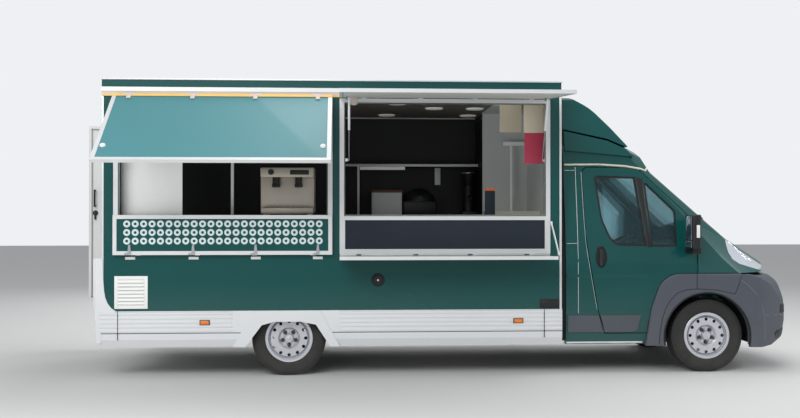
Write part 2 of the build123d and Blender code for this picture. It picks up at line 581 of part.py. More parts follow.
for name, hatch_rear, hatch_front, flap_angle, shelf_angle in HATCHES:
    save(f"upper_flap_{name}", turned(upper_flap(hatch_rear, hatch_front), -HINGE_Y, UPPER_HINGE_Z, flap_angle))
    lower = block(
        (hatch_rear, hatch_front), (-FLAP_INNER_Y - SHELF_THICKNESS, -FLAP_INNER_Y),
        (HATCH_BOTTOM + SEAL, SILL_HEIGHT - FLAP_GAP / 2),
    )
    for hinge_x in hinge_places(hatch_rear, hatch_front):
        moving_x = (hinge_x - BARREL, hinge_x)
        lower += rod((moving_x[0], -HINGE_Y, LOWER_HINGE_Z), (moving_x[1], -HINGE_Y, LOWER_HINGE_Z), BARREL_RADIUS)
        lower += block(moving_x, (-HINGE_Y - 14, -HINGE_Y), (LOWER_HINGE_Z - 2, HATCH_BOTTOM + 1))
    save(f"lower_flap_{name}", turned(lower, -HINGE_Y, LOWER_HINGE_Z, -shelf_angle))
    # the gas struts, each from a lug on the flap to a stud on the frame
    angle = radians(flap_angle)
    inward = HINGE_Y + PIN_Y
    down = UPPER_HINGE_Z - HATCH_TOP + STRUT_FLAP_PIN
    pin_y = -HINGE_Y + inward * cos(angle) - down * sin(angle)
    pin_z = UPPER_HINGE_Z - inward * sin(angle) - down * cos(angle)
    foot_z = HATCH_TOP - STRUT_FRAME_PIN
    length = hypot(FRAME_PIN_Y - pin_y, foot_z - pin_z)
    along = Vector(0, FRAME_PIN_Y - pin_y, foot_z - pin_z).normalized()
    tubes = []
    rods = []
    for pin_x in strut_places(hatch_rear, hatch_front):
        top = Vector(pin_x, pin_y, pin_z)
        foot = Vector(pin_x, FRAME_PIN_Y, foot_z)
        tube = rod(tuple(top + along * 9), tuple(top + along * GAS_TUBE_LENGTH), GAS_TUBE_RADIUS)
        tube -= rod(tuple(top + along * 14), tuple(top + along * (GAS_TUBE_LENGTH + 1)), GAS_ROD_RADIUS + SEAL)
        tube += rod((pin_x - 14 + SEAL, pin_y, pin_z), (pin_x + 8, pin_y, pin_z), 10)
        tubes.append(tube)
        stem = rod(tuple(foot - along * GAS_ROD_LENGTH), tuple(foot), GAS_ROD_RADIUS)
        stem += rod((pin_x - 6, FRAME_PIN_Y, foot_z), (pin_x + 6, FRAME_PIN_Y, foot_z), 9)
        rods.append(stem)
    save(f"gas_tubes_{name}", tubes)
    save(f"gas_rods_{name}", rods)


# Cab: one closed outer form, from which the panels are cut as they meet on the real vehicle
def slope_form(start, end, radius, inset):
    """Wide cylinder whose top line runs through two (x, z) points on the centreline."""
    rise = atan2(end[1] - start[1], end[0] - start[0])
    centre = (
        start[0] + radius * sin(rise), start[1] - radius * cos(rise),
    )
    run = Vector(cos(rise), 0, sin(rise))
    origin = Vector(centre[0], 0, centre[1]) - run * 4000
    return rod(tuple(origin), tuple(origin + run * 8000), radius - inset)


def raised(point, height):
    """An (x, z) point moved square to the windscreen's slope."""
    slope = atan2(SCREEN_TOP[1] - SCREEN_FOOT[1], SCREEN_FOOT[0] - SCREEN_TOP[0])
    return point[0] + height * sin(slope), point[1] + height * cos(slope)


def cab_form(inset):
    """Outer form of the cab, or the same form set in all round."""
    section = [
        (CAB_HALF_WIDTH - 25, CAB_SILL), (CAB_HALF_WIDTH, 560), (CAB_HALF_WIDTH, 1080),
        (CAB_HALF_WIDTH - 40, 1420), (CANT_RAIL_Y, CANT_RAIL_Z),
    ]
    outline = section + [(0, CAB_TOP + 16)] + [(-y, z) for y, z in reversed(section)]
    rounding = [0, 400, 500, 900, CANT_RAIL_RADIUS]
    face = make_face(
        FilletPolyline(
            *[(CAB_REAR, y, z) for y, z in outline], radius=rounding + [ROOF_CROWN_RADIUS] + rounding[::-1], close=True
        ).edges()
    )
    if inset:
        face = offset(face, amount=-inset)
    body = extrude(face, amount=NOSE_X - CAB_REAR, dir=(1, 0, 0))
    if inset:
        body &= block((CAB_REAR + inset, NOSE_X - inset), (-2000, 2000), (0, 4000))
    corner = 620.0
    plan = make_face(
        [
            *Line((CAB_REAR, -CAB_HALF_WIDTH - 20, 0), (NOSE_X - corner, -CAB_HALF_WIDTH - 20, 0)).edges(),
            *ThreePointArc(
                (NOSE_X - corner, -CAB_HALF_WIDTH - 20, 0), (NOSE_X - 260, -CAB_HALF_WIDTH + 150, 0), (NOSE_X - 130, -650, 0)
            ).edges(),
            *ThreePointArc((NOSE_X - 130, -650, 0), (NOSE_X, 0, 0), (NOSE_X - 130, 650, 0)).edges(),
            *ThreePointArc(
                (NOSE_X - 130, 650, 0), (NOSE_X - 260, CAB_HALF_WIDTH - 150, 0), (NOSE_X - corner, CAB_HALF_WIDTH + 20, 0)
            ).edges(),
            *Line((NOSE_X - corner, CAB_HALF_WIDTH + 20, 0), (CAB_REAR, CAB_HALF_WIDTH + 20, 0)).edges(),
            *Line((CAB_REAR, CAB_HALF_WIDTH + 20, 0), (CAB_REAR, -CAB_HALF_WIDTH - 20, 0)).edges(),
        ]
    )
    if inset:
        plan = offset(plan, amount=-inset)
    body &= extrude(plan, amount=3000, dir=(0, 0, 1))
    # the windscreen's slope, the bonnet below it and the roof's rounded lip above it
    lip = slope_form(*LIP_TOP, LIP_TOP_RADIUS, inset) & slope_form(*LIP_FACE, LIP_FACE_RADIUS, inset)
    front = slope_form(SCREEN_TOP, SCREEN_FOOT, SCREEN_RADIUS, inset)
    front += slope_form(BONNET_BACK, BONNET_NOSE, BONNET_RADIUS, inset)
    body &= front + lip
    pillars = slope_form(raised(SCREEN_TOP, PILLAR_RISE), raised(SCREEN_FOOT, PILLAR_RISE), PILLAR_RADIUS, inset)
    body &= pillars + block((0, PILLAR_REAR), (-2000, 2000), (0, PILLAR_BASE))
    if inset:
        body &= block((0, 4000), (-2000, 2000), (CAB_SILL + inset, 4000))
    return body


def arch_form(radius, y):
    """Round-topped slot about a front wheel, between two values of y."""
    centre_x, centre_z = ARCH_CENTRE
    top = rod((centre_x, min(y), centre_z), (centre_x, max(y), centre_z), radius)
    return top + block((centre_x - radius, centre_x + radius), y, (100, centre_z))


def on_screen(outline, radii, below, above):
    """Prism square to the windscreen, from (y, distance up the slope) points."""
    slope = atan2(SCREEN_TOP[1] - SCREEN_FOOT[1], SCREEN_FOOT[0] - SCREEN_TOP[0])
    plane = Plane(
        origin=(SCREEN_TOP[0], 0, SCREEN_TOP[1]), x_dir=(0, 1, 0), z_dir=(sin(slope), 0, cos(slope))
    ).offset(-below)
    face = make_face(FilletPolyline(*[(y, up, 0) for y, up in outline], radius=radii, close=True).edges())
    return extrude(plane * face, amount=below + above)


def shrunk(outline, gap, y, radii):
    """Prism like side_form with its outline drawn in by a gap."""
    points = [(px, 0, pz) for px, pz in outline]
    face = make_face(FilletPolyline(*points, radius=radii, close=True).edges())
    face = Pos(0, min(y), 0) * offset(face, amount=-gap)
    return extrude(face, amount=abs(y[1] - y[0]), dir=(0, 1, 0))


OUTER = cab_form(0)
INNER = cab_form(CAB_WALL)
GLASS_OUTER = cab_form(GLASS_INSET)
GLASS_INNER = cab_form(GLASS_INSET + GLASS_THICKNESS)
SKIN = OUTER - INNER

# Outlines seen from the side, as (x, z) points
DOOR_FRONT = 1924.0
DOOR_TOP_LINE = 1992.0
DOOR_FOOT = 385.0
DOOR_SWEEP = 3.0              # room for the door's front edge as it swings
WING_SEAM_Z = 1440.0
COWL_X = 2290.0
COWL_Z = 1262.0
FRONT_BOTTOM = 958.0         # where the wing and bonnet meet the mouldings and bumper
door_outline = [
    (806, DOOR_TOP_LINE), (1362, DOOR_TOP_LINE - 6), (DOOR_FRONT, 1462), (DOOR_FRONT, 240), (1032, 300),
    (940, 603), (856, 1100), (826, 1327),
]
door_radii = [70, 160, 60, 0, 20, 400, 900, 900]
window_outline = [(928, 1907), (1335, 1892), (1430, 1219), (1088, 1222), (979, 1478)]
window_radii = [40, 24, 24, 150, 260]
quarter_outline = [(1413, 1866), (1722, 1560), (1726, 1213), (1472, 1213)]
quarter_radii = [20, 60, 30, 20]
arch_outer = [(1398, 200), (1462, 610), (1585, 952), (2700, 952), (2700, 200)]
arch_outer_radii = [0, 300, 240, 0, 0]
MOULDING_BEVEL = 12.0
MOULDING_GAP = 5.0            # round the moulding, in the door
lamp_edge = [(2250, 1225), (2254, 1154), (2288, 1088), (2358, 1045), (2479, 1010), (2627, 972)]
wing_outline = [
    (DOOR_FRONT + DOOR_SWEEP, FRONT_BOTTOM), (DOOR_FRONT + DOOR_SWEEP, WING_SEAM_Z), (2256, 1278), *lamp_edge,
    (2760, 964), (2760, FRONT_BOTTOM),
]
lamp_outline = [
    (COWL_X, 1480), (2760, 1300), (2760, 964), *reversed(lamp_edge), (2256, 1276), (COWL_X, COWL_Z),
]
front_region = [
    (DOOR_FRONT, 0), (DOOR_FRONT, WING_SEAM_Z), (COWL_X, COWL_Z), (COWL_X, 1700), (3100, 1700), (3100, 0),
]
cowl_region = [
    (0, WING_SEAM_Z), (DOOR_FRONT, WING_SEAM_Z), (COWL_X, COWL_Z), (3000, COWL_Z), (3000, 3000), (0, 3000),
]
BONNET_HALF_WIDTH = 640.0
WING_THICKNESS = 22.0
HANDLE_CENTRE = (977.0, 1111.0)
HANDLE_POCKET = (57.0, 100.0)
HANDLE_FLOOR = 1004.0
moulding = side_form(arch_outer, (-ARCH_FACE, -ARCH_FACE + MOULDING_DEPTH), arch_outer_radii)
moulding = chamfer(moulding.faces().sort_by(Axis.Y)[0].edges(), MOULDING_BEVEL)
moulding -= arch_form(ARCH_RADIUS - 12, (-1200, -700))
bumper_rear = [(2350, 960), (2322, 802), (2437, 420), (2437, 200), (3100, 200), (3100, 960)]
moulding -= side_form(bumper_rear, (-1200, -700))
moulding -= block((0, 3000), (-1200, 0), (0, 262))

# Cab shell: roof, pillars, sills, floor and the wall in front of the feet
shell = SKIN - block((CAB_REAR - 5, 3000), (-CAB_HALF_WIDTH + SILL_DEPTH, CAB_HALF_WIDTH - SILL_DEPTH), (0, CAB_FLOOR - CAB_FLOOR_THICKNESS))
floor_pan = block((CAB_REAR, FIREWALL_X + 30), (-CAB_HALF_WIDTH, CAB_HALF_WIDTH), (CAB_FLOOR - CAB_FLOOR_THICKNESS, CAB_FLOOR))
for side, sign in SIDES:
    floor_pan += block(
        (CAB_REAR, DOOR_FRONT), (sign * (CAB_HALF_WIDTH - SILL_DEPTH), sign * CAB_HALF_WIDTH), (CAB_SILL, CAB_FLOOR)
    )
shell += floor_pan & OUTER
shell -= side_form(front_region, (-2000, 2000))
FIREWALL_TOP = 1440.0
firewall = block((FIREWALL_X, FIREWALL_X + 30), (-CAB_HALF_WIDTH, CAB_HALF_WIDTH), (CAB_FLOOR - CAB_FLOOR_THICKNESS, FIREWALL_TOP))
POST_DEPTH = 90.0
POST_TOP = 1400.0
for sign in (-1, 1):
    firewall += block(
        (DOOR_FRONT, FIREWALL_X + 30), (sign * (CAB_HALF_WIDTH - WING_THICKNESS - POST_DEPTH), sign * CAB_HALF_WIDTH), (700, POST_TOP)
    )
shell += firewall & cab_form(WING_THICKNESS + SEAL) & block((0, 3000), (-2000, 2000), (0, FIREWALL_TOP))
arch_wall = 15.0
arch_y = 575.0
for side, sign in SIDES:
    outer_y = sign * (CAB_HALF_WIDTH - 30)
    liner = arch_form(ARCH_RADIUS + arch_wall, (sign * (arch_y - arch_wall), outer_y))
    shell += liner & block((1500, 2500), (-1100, 1100), (CAB_FLOOR - 120, 1000))
    tower = block((FRONT_X - 90, FRONT_X + 90), (sign * (arch_y - arch_wall), sign * 760), (700, STRUT_TOP + arch_wall))
    shell += tower
    shell -= arch_form(ARCH_RADIUS, (sign * arch_y, sign * 1200))
    shell -= block((FRONT_X - 78, FRONT_X + 78), (sign * arch_y, sign * 748), (690, STRUT_TOP))
    door_cut = shrunk(door_outline, -0.01, (-1200, -700), door_radii)
    door_cut &= block((0, 3000), (-1200, 0), (DOOR_FOOT - PANEL_GAP, 3000))
    shell -= door_cut if sign < 0 else mirror(door_cut, about=Plane.XZ)
for piece in both_sides(moulding):
    shell -= piece
HINGE_HEIGHTS = (1010.0, 1330.0)
door_hinge_x = DOOR_FRONT - PANEL_GAP / 2
door_hinge_y = CAB_HALF_WIDTH - 7
for sign in (-1, 1):
    for hinge_z in HINGE_HEIGHTS:
        shell += rod(
            (door_hinge_x, sign * door_hinge_y, hinge_z + SEAL), (door_hinge_x, sign * door_hinge_y, hinge_z + 40), 3.4
        )
        shell += block(
            (door_hinge_x, DOOR_FRONT + 4), (sign * (CAB_HALF_WIDTH - WING_THICKNESS - 30), sign * door_hinge_y),
            (hinge_z + SEAL, hinge_z + 40),
        )
screen_outline = [(-668, -18), (668, -18), (765, -940), (-765, -940)]
screen_radii = [70, 70, 90, 90]
shell -= on_screen(screen_outline, screen_radii, 330, 100)
BONNET_HINGE_X = COWL_X + PANEL_GAP / 2
BONNET_HINGE_Z = BONNET_BACK[1]
BONNET_HINGE_Y = 90.0
for sign in (-1, 1):
    shell += rod(
        (BONNET_HINGE_X, sign * (BONNET_HINGE_Y - SEAL), BONNET_HINGE_Z),
        (BONNET_HINGE_X, sign * (BONNET_HINGE_Y - 40), BONNET_HINGE_Z), 3.4,
    )
    shell += block(
        (COWL_X - 10, BONNET_HINGE_X), (sign * (BONNET_HINGE_Y - 40), sign * (BONNET_HINGE_Y - SEAL)),
        (BONNET_HINGE_Z - 14, BONNET_HINGE_Z),
    )
save("cab_shell", shell)

# Windscreen
pane_outline = [(-668 + SEAL, -18 - SEAL), (668 - SEAL, -18 - SEAL), (765 - SEAL, -940 + SEAL), (-765 + SEAL, -940 + SEAL)]
pane = (GLASS_OUTER - GLASS_INNER) & on_screen(pane_outline, screen_radii, 330, 100)
save("windscreen", pane)

# Cab doors with their window and quarter glass
door = SKIN & shrunk(door_outline, PANEL_GAP, (-1200, -700), door_radii)
door -= shrunk(arch_outer, -MOULDING_GAP, (-1300, -600), arch_outer_radii)
door &= block((0, 3000), (-1200, 0), (DOOR_FOOT, 3000))
door -= side_form(window_outline, (-1200, -600), window_radii)
door -= side_form(quarter_outline, (-1200, -600), quarter_radii)
pocket_plane = Plane(origin=(HANDLE_CENTRE[0], -1200, HANDLE_CENTRE[1]), x_dir=(1, 0, 0), z_dir=(0, 1, 0))
door -= extrude(pocket_plane * Ellipse(*HANDLE_POCKET), amount=1200 - HANDLE_FLOOR)
for hinge_z in HINGE_HEIGHTS:
    door += rod((door_hinge_x, -door_hinge_y, hinge_z - 40), (door_hinge_x, -door_hinge_y, hinge_z), 3.4)
    door += block(
        (DOOR_FRONT - PANEL_GAP - 4, door_hinge_x), (-door_hinge_y, -door_hinge_y + 6), (hinge_z - 40, hinge_z)
    )
save("cab_door_right", door)
save("cab_door_left", mirror(door, about=Plane.XZ))
side_glass = []
for outline, radii in ((window_outline, window_radii), (quarter_outline, quarter_radii)):
    side_glass.append((GLASS_OUTER - GLASS_INNER) & shrunk(outline, SEAL, (-1200, -600), radii))
save("door_glass_right", side_glass)
save("door_glass_left", [mirror(piece, about=Plane.XZ) for piece in side_glass])

# Wings, headlamps and bonnet
wing = (OUTER - cab_form(WING_THICKNESS)) & shrunk(
    wing_outline, SEAL, (-1200, -BONNET_HALF_WIDTH), [0] * len(wing_outline)
)
for hinge_z in HINGE_HEIGHTS:
    wing -= block(
        (DOOR_FRONT - 5, DOOR_FRONT + 5), (-CAB_HALF_WIDTH, -CAB_HALF_WIDTH + 60), (hinge_z - 1, hinge_z + 41)
    )
save("front_wings", both_sides(wing - shell))
lamp_block = (OUTER - cab_form(95)) & shrunk(
    lamp_outline, SEAL, (-1200, -BONNET_HALF_WIDTH - 6), [0] * len(lamp_outline)
)
save("headlamps", both_sides(lamp_block))
bonnet = SKIN & block(
    (COWL_X + PANEL_GAP, 3000), (-BONNET_HALF_WIDTH, BONNET_HALF_WIDTH), (FRONT_BOTTOM + 40, 2000)
)
for sign in (-1, 1):
    bonnet += rod(
        (BONNET_HINGE_X, sign * BONNET_HINGE_Y, BONNET_HINGE_Z),
        (BONNET_HINGE_X, sign * (BONNET_HINGE_Y + 40), BONNET_HINGE_Z), 3.4,
    )
    bonnet += block(
        (BONNET_HINGE_X, BONNET_HINGE_X + 8), (sign * BONNET_HINGE_Y, sign * (BONNET_HINGE_Y + 40)),
        (BONNET_HINGE_Z - 12, BONNET_HINGE_Z),
    )
save("bonnet", bonnet)


# Front wheel-arch mouldings, from the door's foot round to the bumper
save("arch_mouldings", both_sides(moulding))


# Front bumper: a hollow moulding with the grille's opening between its two shoulders
BUMPER_TOP = 945.0
# each face round the corner: degrees turned from straight ahead, distance from the vehicle's origin
CORNER_FACES = ((22.0, 2960.0), (42.0, 2712.0))
CORNER_TOP = BUMPER_TOP + 30
CORNER_BOTTOM = BUMPER_BOTTOM - 30
CORNER_PROFILE = [
    (-334, CORNER_TOP), (-140, 918), (-62, 855), (-6, 702), (0, 500), (-28, 325), (-146, CORNER_BOTTOM),
]
CORNER_RADII = [0, 80, 120, 400, 300, 100, 0]


def bumper_form(inset):
    side = [
        (0, BUMPER_TOP), (2680, BUMPER_TOP), (2830, 915), (2915, 800), (2955, 640), (BUMPER_NOSE, 480),
        (2945, 330), (2850, BUMPER_BOTTOM), (0, BUMPER_BOTTOM),
    ]
    side_face = make_face(
        FilletPolyline(*[(x, 0, z) for x, z in side], radius=[0, 200, 120, 300, 300, 160, 100, 60, 0], close=True).edges()
    )
    plan = make_face(
        [
            *Line((2200, -BUMPER_HALF_WIDTH, 0), (2480, -BUMPER_HALF_WIDTH, 0)).edges(),
            *ThreePointArc((2480, -BUMPER_HALF_WIDTH, 0), (2810, -930, 0), (2922, -700, 0)).edges(),
            *ThreePointArc((2922, -700, 0), (BUMPER_NOSE, 0, 0), (2922, 700, 0)).edges(),
            *ThreePointArc((2922, 700, 0), (2810, 930, 0), (2480, BUMPER_HALF_WIDTH, 0)).edges(),
            *Line((2480, BUMPER_HALF_WIDTH, 0), (2200, BUMPER_HALF_WIDTH, 0)).edges(),
            *Line((2200, BUMPER_HALF_WIDTH, 0), (2200, -BUMPER_HALF_WIDTH, 0)).edges(),
        ]
    )
    if inset:
        side_face = offset(side_face, amount=-inset)
        plan = offset(plan, amount=-inset)
    solid = extrude(Pos(0, -1300, 0) * side_face, amount=2600, dir=(0, 1, 0))
    solid &= extrude(plan, amount=2000, dir=(0, 0, 1))
    for turn, reach in CORNER_FACES:
        outline = [(0, CORNER_TOP), *[(reach + x, z) for x, z in CORNER_PROFILE], (0, CORNER_BOTTOM)]
        face = make_face(
            FilletPolyline(*[(x, -4000, z) for x, z in outline], radius=[0, *CORNER_RADII, 0], close=True).edges()
        )
        if inset:
            face = offset(face, amount=-inset)
        corner = extrude(face, amount=8000, dir=(0, 1, 0))
        solid &= Rot(0, 0, turn) * corner
        solid &= Rot(0, 0, -turn) * corner
    return solid



GRILLE_HALF_WIDTH = 470.0
GRILLE_Z = (600.0, 880.0)
INTAKE_HALF_WIDTH = 520.0
INTAKE_Z = (300.0, 400.0)
BUMPER_OUTER = bumper_form(0)
BUMPER_INNER = bumper_form(BUMPER_WALL)
bumper = BUMPER_OUTER - BUMPER_INNER
bumper -= block((2000, 2620), (-990, 990), (0, 2000))
for sign in (-1, 1):
    # the shelf that closes each corner under the headlamp
    bumper += BUMPER_OUTER & block((2470, 2730), (sign * 1010, sign * 700), (BUMPER_TOP - 52, BUMPER_TOP - 15))
bumper &= side_form(bumper_rear, (-1200, 1200))
for sign in (-1, 1):
    bumper -= arch_form(ARCH_RADIUS - 12, (sign * arch_y, sign * 1200))
bumper -= block((2600, 3000), (-GRILLE_HALF_WIDTH, GRILLE_HALF_WIDTH), GRILLE_Z)
bumper -= block((2600, 3000), (-INTAKE_HALF_WIDTH, INTAKE_HALF_WIDTH), INTAKE_Z)
save("front_bumper", bumper)

# Grille: slats in both of the bumper's openings
grille_band = bumper_form(12) - bumper_form(30)
grille = []
SLAT_HEIGHT = 14.0
for half_width, span, slats in ((GRILLE_HALF_WIDTH, GRILLE_Z, 5), (INTAKE_HALF_WIDTH, INTAKE_Z, 3)):
    half_width -= SEAL
    low = span[0] + SEAL
    high = span[1] - SEAL
    insert = block((2600, 3000), (-half_width, half_width), (low, high))
    pitch = (high - low) / slats
    for slat in range(slats):
        insert -= block(
            (2590, 3010), (-half_width + 20, half_width - 20),
            (low + pitch * slat + SLAT_HEIGHT / 2, low + pitch * (slat + 1) - SLAT_HEIGHT / 2),
        )
    grille.append(grille_band & insert)
save("grille", grille)

# Wind deflector over the cab: an open-backed shell above a base panel
def deflector_form(inset):
    side = [
        (640, 2364), (640, 2680), (745, 2680), (930, 2575), (1120, 2375), (1290, 2175), (1080, 2268),
    ]
    face = make_face(FilletPolyline(*[(x, 0, z) for x, z in side], radius=[0, 0, 150, 600, 1200, 6, 300], close=True).edges())
    section = make_face(
        FilletPolyline(*[(0, y, z) for y, z in [(-905, 2100), (-720, 2720), (720, 2720), (905, 2100)]],
                       radius=[0, 110, 110, 0], close=True).edges()
    )
    if inset:
        face = offset(face, amount=-inset)
        section = offset(section, amount=-inset)
    solid = extrude(Pos(0, -1000, 0) * face, amount=2000, dir=(0, 1, 0))
    return solid & extrude(Pos(500, 0, 0) * section, amount=1500, dir=(1, 0, 0))


DEFLECTOR_WALL = 12.0
deflector = deflector_form(0) - deflector_form(DEFLECTOR_WALL)
deflector -= block((600, 652), (-660, 660), (2376, 2660))
deflector -= OUTER
base_panel = side_form(
    [(CAB_REAR + 20, 2344), (CAB_REAR + 20, 2150), (1330, 2090), (1262, 2165), (1080, 2248)], (-1000, 1000)
)
base_panel &= section_form([(-905, 2080), (-835, 2344), (835, 2344), (905, 2080)], (500, 2000))
base_panel -= OUTER
save("deflector", deflector, base_panel)

# Dashboard, steering wheel and seats
dash = INNER & side_form(
    [(1640, 1130), (1700, 1190), (FIREWALL_X - SEAL, 1225), (FIREWALL_X - SEAL, 760), (1800, 760), (1660, 900)],
    (-980, 980), [50, 80, 0, 0, 60, 60],
)
dash -= arch_form(ARCH_RADIUS + arch_wall + 1, (-1100, -arch_y + arch_wall + 1))
dash -= arch_form(ARCH_RADIUS + arch_wall + 1, (arch_y - arch_wall - 1, 1100))
for sign in (-1, 1):
    dash -= block((FRONT_X - 92, FRONT_X + 92), (sign * (arch_y - arch_wall - 1), sign * 762), (690, STRUT_TOP + arch_wall + 1))
STEERING_PLACE = Pos(1500, 430, 1180) * Rot(0, -38, 0)
COLUMN_RADIUS = 28.0
grip = [(195 + 14 * cos(tau * step / 8), 0, 14 * sin(tau * step / 8)) for step in range(8)]
steering = revolve(make_face(Polyline(*grip, close=True).edges()), axis=Axis.Z)
steering += Cylinder(60, 40)
for turn in (0, 120, 240):
    steering += Rot(0, 0, turn + 90) * (Pos(97, 0, 0) * Box(190, 34, 14))
steering += Pos(0, 0, -230) * Cylinder(COLUMN_RADIUS, 440)
save("steering_wheel", STEERING_PLACE * steering)
column_clear = STEERING_PLACE * (Pos(0, 0, -300) * Cylinder(COLUMN_RADIUS + SEAL, 600))
save("dashboard", dash - column_clear - shell)
SEAT_X = 830.0
seats = []
for centre_y, width in ((430, 520), (-330, 940)):
    half = width / 2
    y = (centre_y - half, centre_y + half)
    seat = side_form([(SEAT_X + 40, CAB_FLOOR), (SEAT_X + 560, CAB_FLOOR), (SEAT_X + 600, 800), (SEAT_X + 60, 780)], (y[0] + 30, y[1] - 30))
    seat += side_form(
        [(SEAT_X + 60, 770), (SEAT_X + 620, 800), (SEAT_X + 640, 920), (SEAT_X + 60, 890)], y, [30, 30, 60, 30]
    )
    seat += side_form(
        [(SEAT_X + 20, 780), (SEAT_X + 200, 800), (SEAT_X + 90, 1480), (SEAT_X - 60, 1490)], y, [60, 30, 50, 50]
    )
    places = (centre_y,) if width < 600 else (centre_y - 235, centre_y + 235)
    for place in places:
        seat += side_form(
            [(SEAT_X - 60, 1440), (SEAT_X + 70, 1440), (SEAT_X + 50, 1690), (SEAT_X - 70, 1690)],
            (place - 125, place + 125), [0, 0, 40, 40],
        )
    seats.append(seat)
save("seats", seats)

# Door mirrors, each on a short arm at the foot of the quarter glass
mirror_head = plan_form([(1754, -1120), (1923, -1120), (1849, -1322), (1768, -1322)], (1197, 1524))
mirror_head = fillet(mirror_head.edges().filter_by(Axis.Z), 26)
mirror_head = chamfer(mirror_head.faces().filter_by(Plane.XY).edges(), 10)
mirror_arm = block((1800, 1880), (-1230, -CAB_HALF_WIDTH + 12), (1150, 1232))
mirror_right = mirror_head + fillet(mirror_arm.edges().filter_by(Axis.Y), 14)
save("mirror_right", mirror_right - door)
save("mirror_left", mirror(mirror_right - door, about=Plane.XZ))

# Kitchen: serving worktop under the hatches, back units, shelf and tall cabinet
COUNTER_DEPTH = 560.0
COUNTER_TOP = SILL_HEIGHT - 14
COUNTER_SLAB = 40.0
inside_x = (BOX_REAR + BOX_WALL, BOX_FRONT - BOX_WALL)
counter_x = (inside_x[0] + 700, inside_x[1] - 60)
counter = block(counter_x, (-WALL_INNER, -WALL_INNER + COUNTER_DEPTH), (COUNTER_TOP - COUNTER_SLAB, COUNTER_TOP))
cupboard_gap = (REAR_X - WHEEL_BOX_HALF_LENGTH, REAR_X + WHEEL_BOX_HALF_LENGTH)
counter += block(
    (counter_x[0] + 20, counter_x[1] - 20), (-WALL_INNER, -WALL_INNER + COUNTER_DEPTH - 30),
    (FLOOR_TOP, COUNTER_TOP - COUNTER_SLAB),
)
counter -= block(
    (counter_x[0] + 40, counter_x[1] - 40), (-WALL_INNER - 5, -WALL_INNER + COUNTER_DEPTH - 60),
    (FLOOR_TOP - 5, COUNTER_TOP - COUNTER_SLAB),
)
counter += block(
    (counter_x[0] + 20, counter_x[1] - 20), (-WALL_INNER, -WALL_INNER + 20), (WHEEL_BOX_TOP + 60, COUNTER_TOP - COUNTER_SLAB)
)
save("serving_counter", counter)
TALL_WIDTH = 506.0
tall_x = (inside_x[1] - TALL_WIDTH, inside_x[1])
save("tall_cabinet", block(tall_x, (WALL_INNER - 600, WALL_INNER), (FLOOR_TOP, ROOF_BOTTOM - 120)))
units_x = (inside_x[0] + 750, tall_x[0] - 10)
units = block(units_x, (WALL_INNER - 560, WALL_INNER), (COUNTER_TOP - COUNTER_SLAB, COUNTER_TOP))
units += block((units_x[0] + 10, units_x[1] - 10), (WALL_INNER - 530, WALL_INNER), (FLOOR_TOP, COUNTER_TOP - COUNTER_SLAB))
units -= block(cupboard_gap, (WHEEL_BOX_Y - 5, WALL_INNER + 5), (FLOOR_TOP - 5, WHEEL_BOX_TOP + 5))
SHELF_Z = 2068.0
shelf = block((-1480, tall_x[0] - 10), (WALL_INNER - 300, WALL_INNER), (SHELF_Z, SHELF_Z + 25))
save("back_units", units, shelf)
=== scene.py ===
from math import atan, cos, hypot, pi, radians, sin, tau

import bmesh
import bpy
from mathutils import Matrix, Vector
from mathutils.bvhtree import BVHTree


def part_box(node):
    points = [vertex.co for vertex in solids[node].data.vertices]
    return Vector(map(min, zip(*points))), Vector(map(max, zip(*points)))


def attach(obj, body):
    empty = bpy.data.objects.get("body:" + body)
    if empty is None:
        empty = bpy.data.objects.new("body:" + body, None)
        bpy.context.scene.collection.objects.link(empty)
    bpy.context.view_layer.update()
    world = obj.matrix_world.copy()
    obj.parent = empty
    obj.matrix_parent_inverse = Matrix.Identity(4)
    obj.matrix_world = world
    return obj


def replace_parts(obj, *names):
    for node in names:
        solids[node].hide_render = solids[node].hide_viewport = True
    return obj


# A food truck, parked and open for custom: a panel-built kitchen body on a van cab.
# Metres. +X is forward, +Y the vehicle's left and +Z up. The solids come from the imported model,
# and each section below dresses one piece, or a group of like pieces, with its finish and detail.
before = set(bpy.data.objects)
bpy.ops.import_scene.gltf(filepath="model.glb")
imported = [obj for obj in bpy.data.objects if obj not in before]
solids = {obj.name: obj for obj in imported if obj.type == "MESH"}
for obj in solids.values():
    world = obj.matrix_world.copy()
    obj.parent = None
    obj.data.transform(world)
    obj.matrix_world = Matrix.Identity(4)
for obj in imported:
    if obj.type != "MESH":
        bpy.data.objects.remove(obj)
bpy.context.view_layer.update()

# Studio: a plain pale floor and backdrop, with wide soft lamps on both sides, in front and
# overhead, so that gloss paint and bare metal have something pale to reflect.


def into_scene(name, data):
    """A new object of the scene."""
    made = bpy.data.objects.new(name, data)
    bpy.context.scene.collection.objects.link(made)
    return made


def wire(tree, made, inputs):
    """Joins a shader node's inputs to other nodes' sockets, or sets them to plain values."""
    for key, value in inputs.items():
        if isinstance(value, bpy.types.NodeSocket):
            tree.links.new(value, made.inputs[key])
        else:
            made.inputs[key].default_value = value
    return made


def add_node(tree, kind, inputs, **settings):
    """A new shader node, with its settings and its inputs."""
    made = tree.nodes.new(f"ShaderNode{kind}")
    for setting, value in settings.items():
        setattr(made, setting, value)
    return wire(tree, made, inputs)


def plain_material(name, inputs):
    """A material whose surface shader has these inputs."""
    material = bpy.data.materials.new(name)
    material.use_nodes = True
    wire(material.node_tree, material.node_tree.nodes["Principled BSDF"], inputs)
    return material


floor_mesh = bmesh.new()
bmesh.ops.create_grid(floor_mesh, x_segments=1, y_segments=1, size=40)
floor_data = bpy.data.meshes.new("studio_floor")
floor_mesh.to_mesh(floor_data)
floor_mesh.free()
FLOOR_SHADE = {"Base Color": (0.62, 0.62, 0.61, 1), "Roughness": 0.9, "Specular IOR Level": 0.1}
floor_data.materials.append(plain_material("studio_floor", FLOOR_SHADE))
studio_floor = into_scene("studio_floor", floor_data)

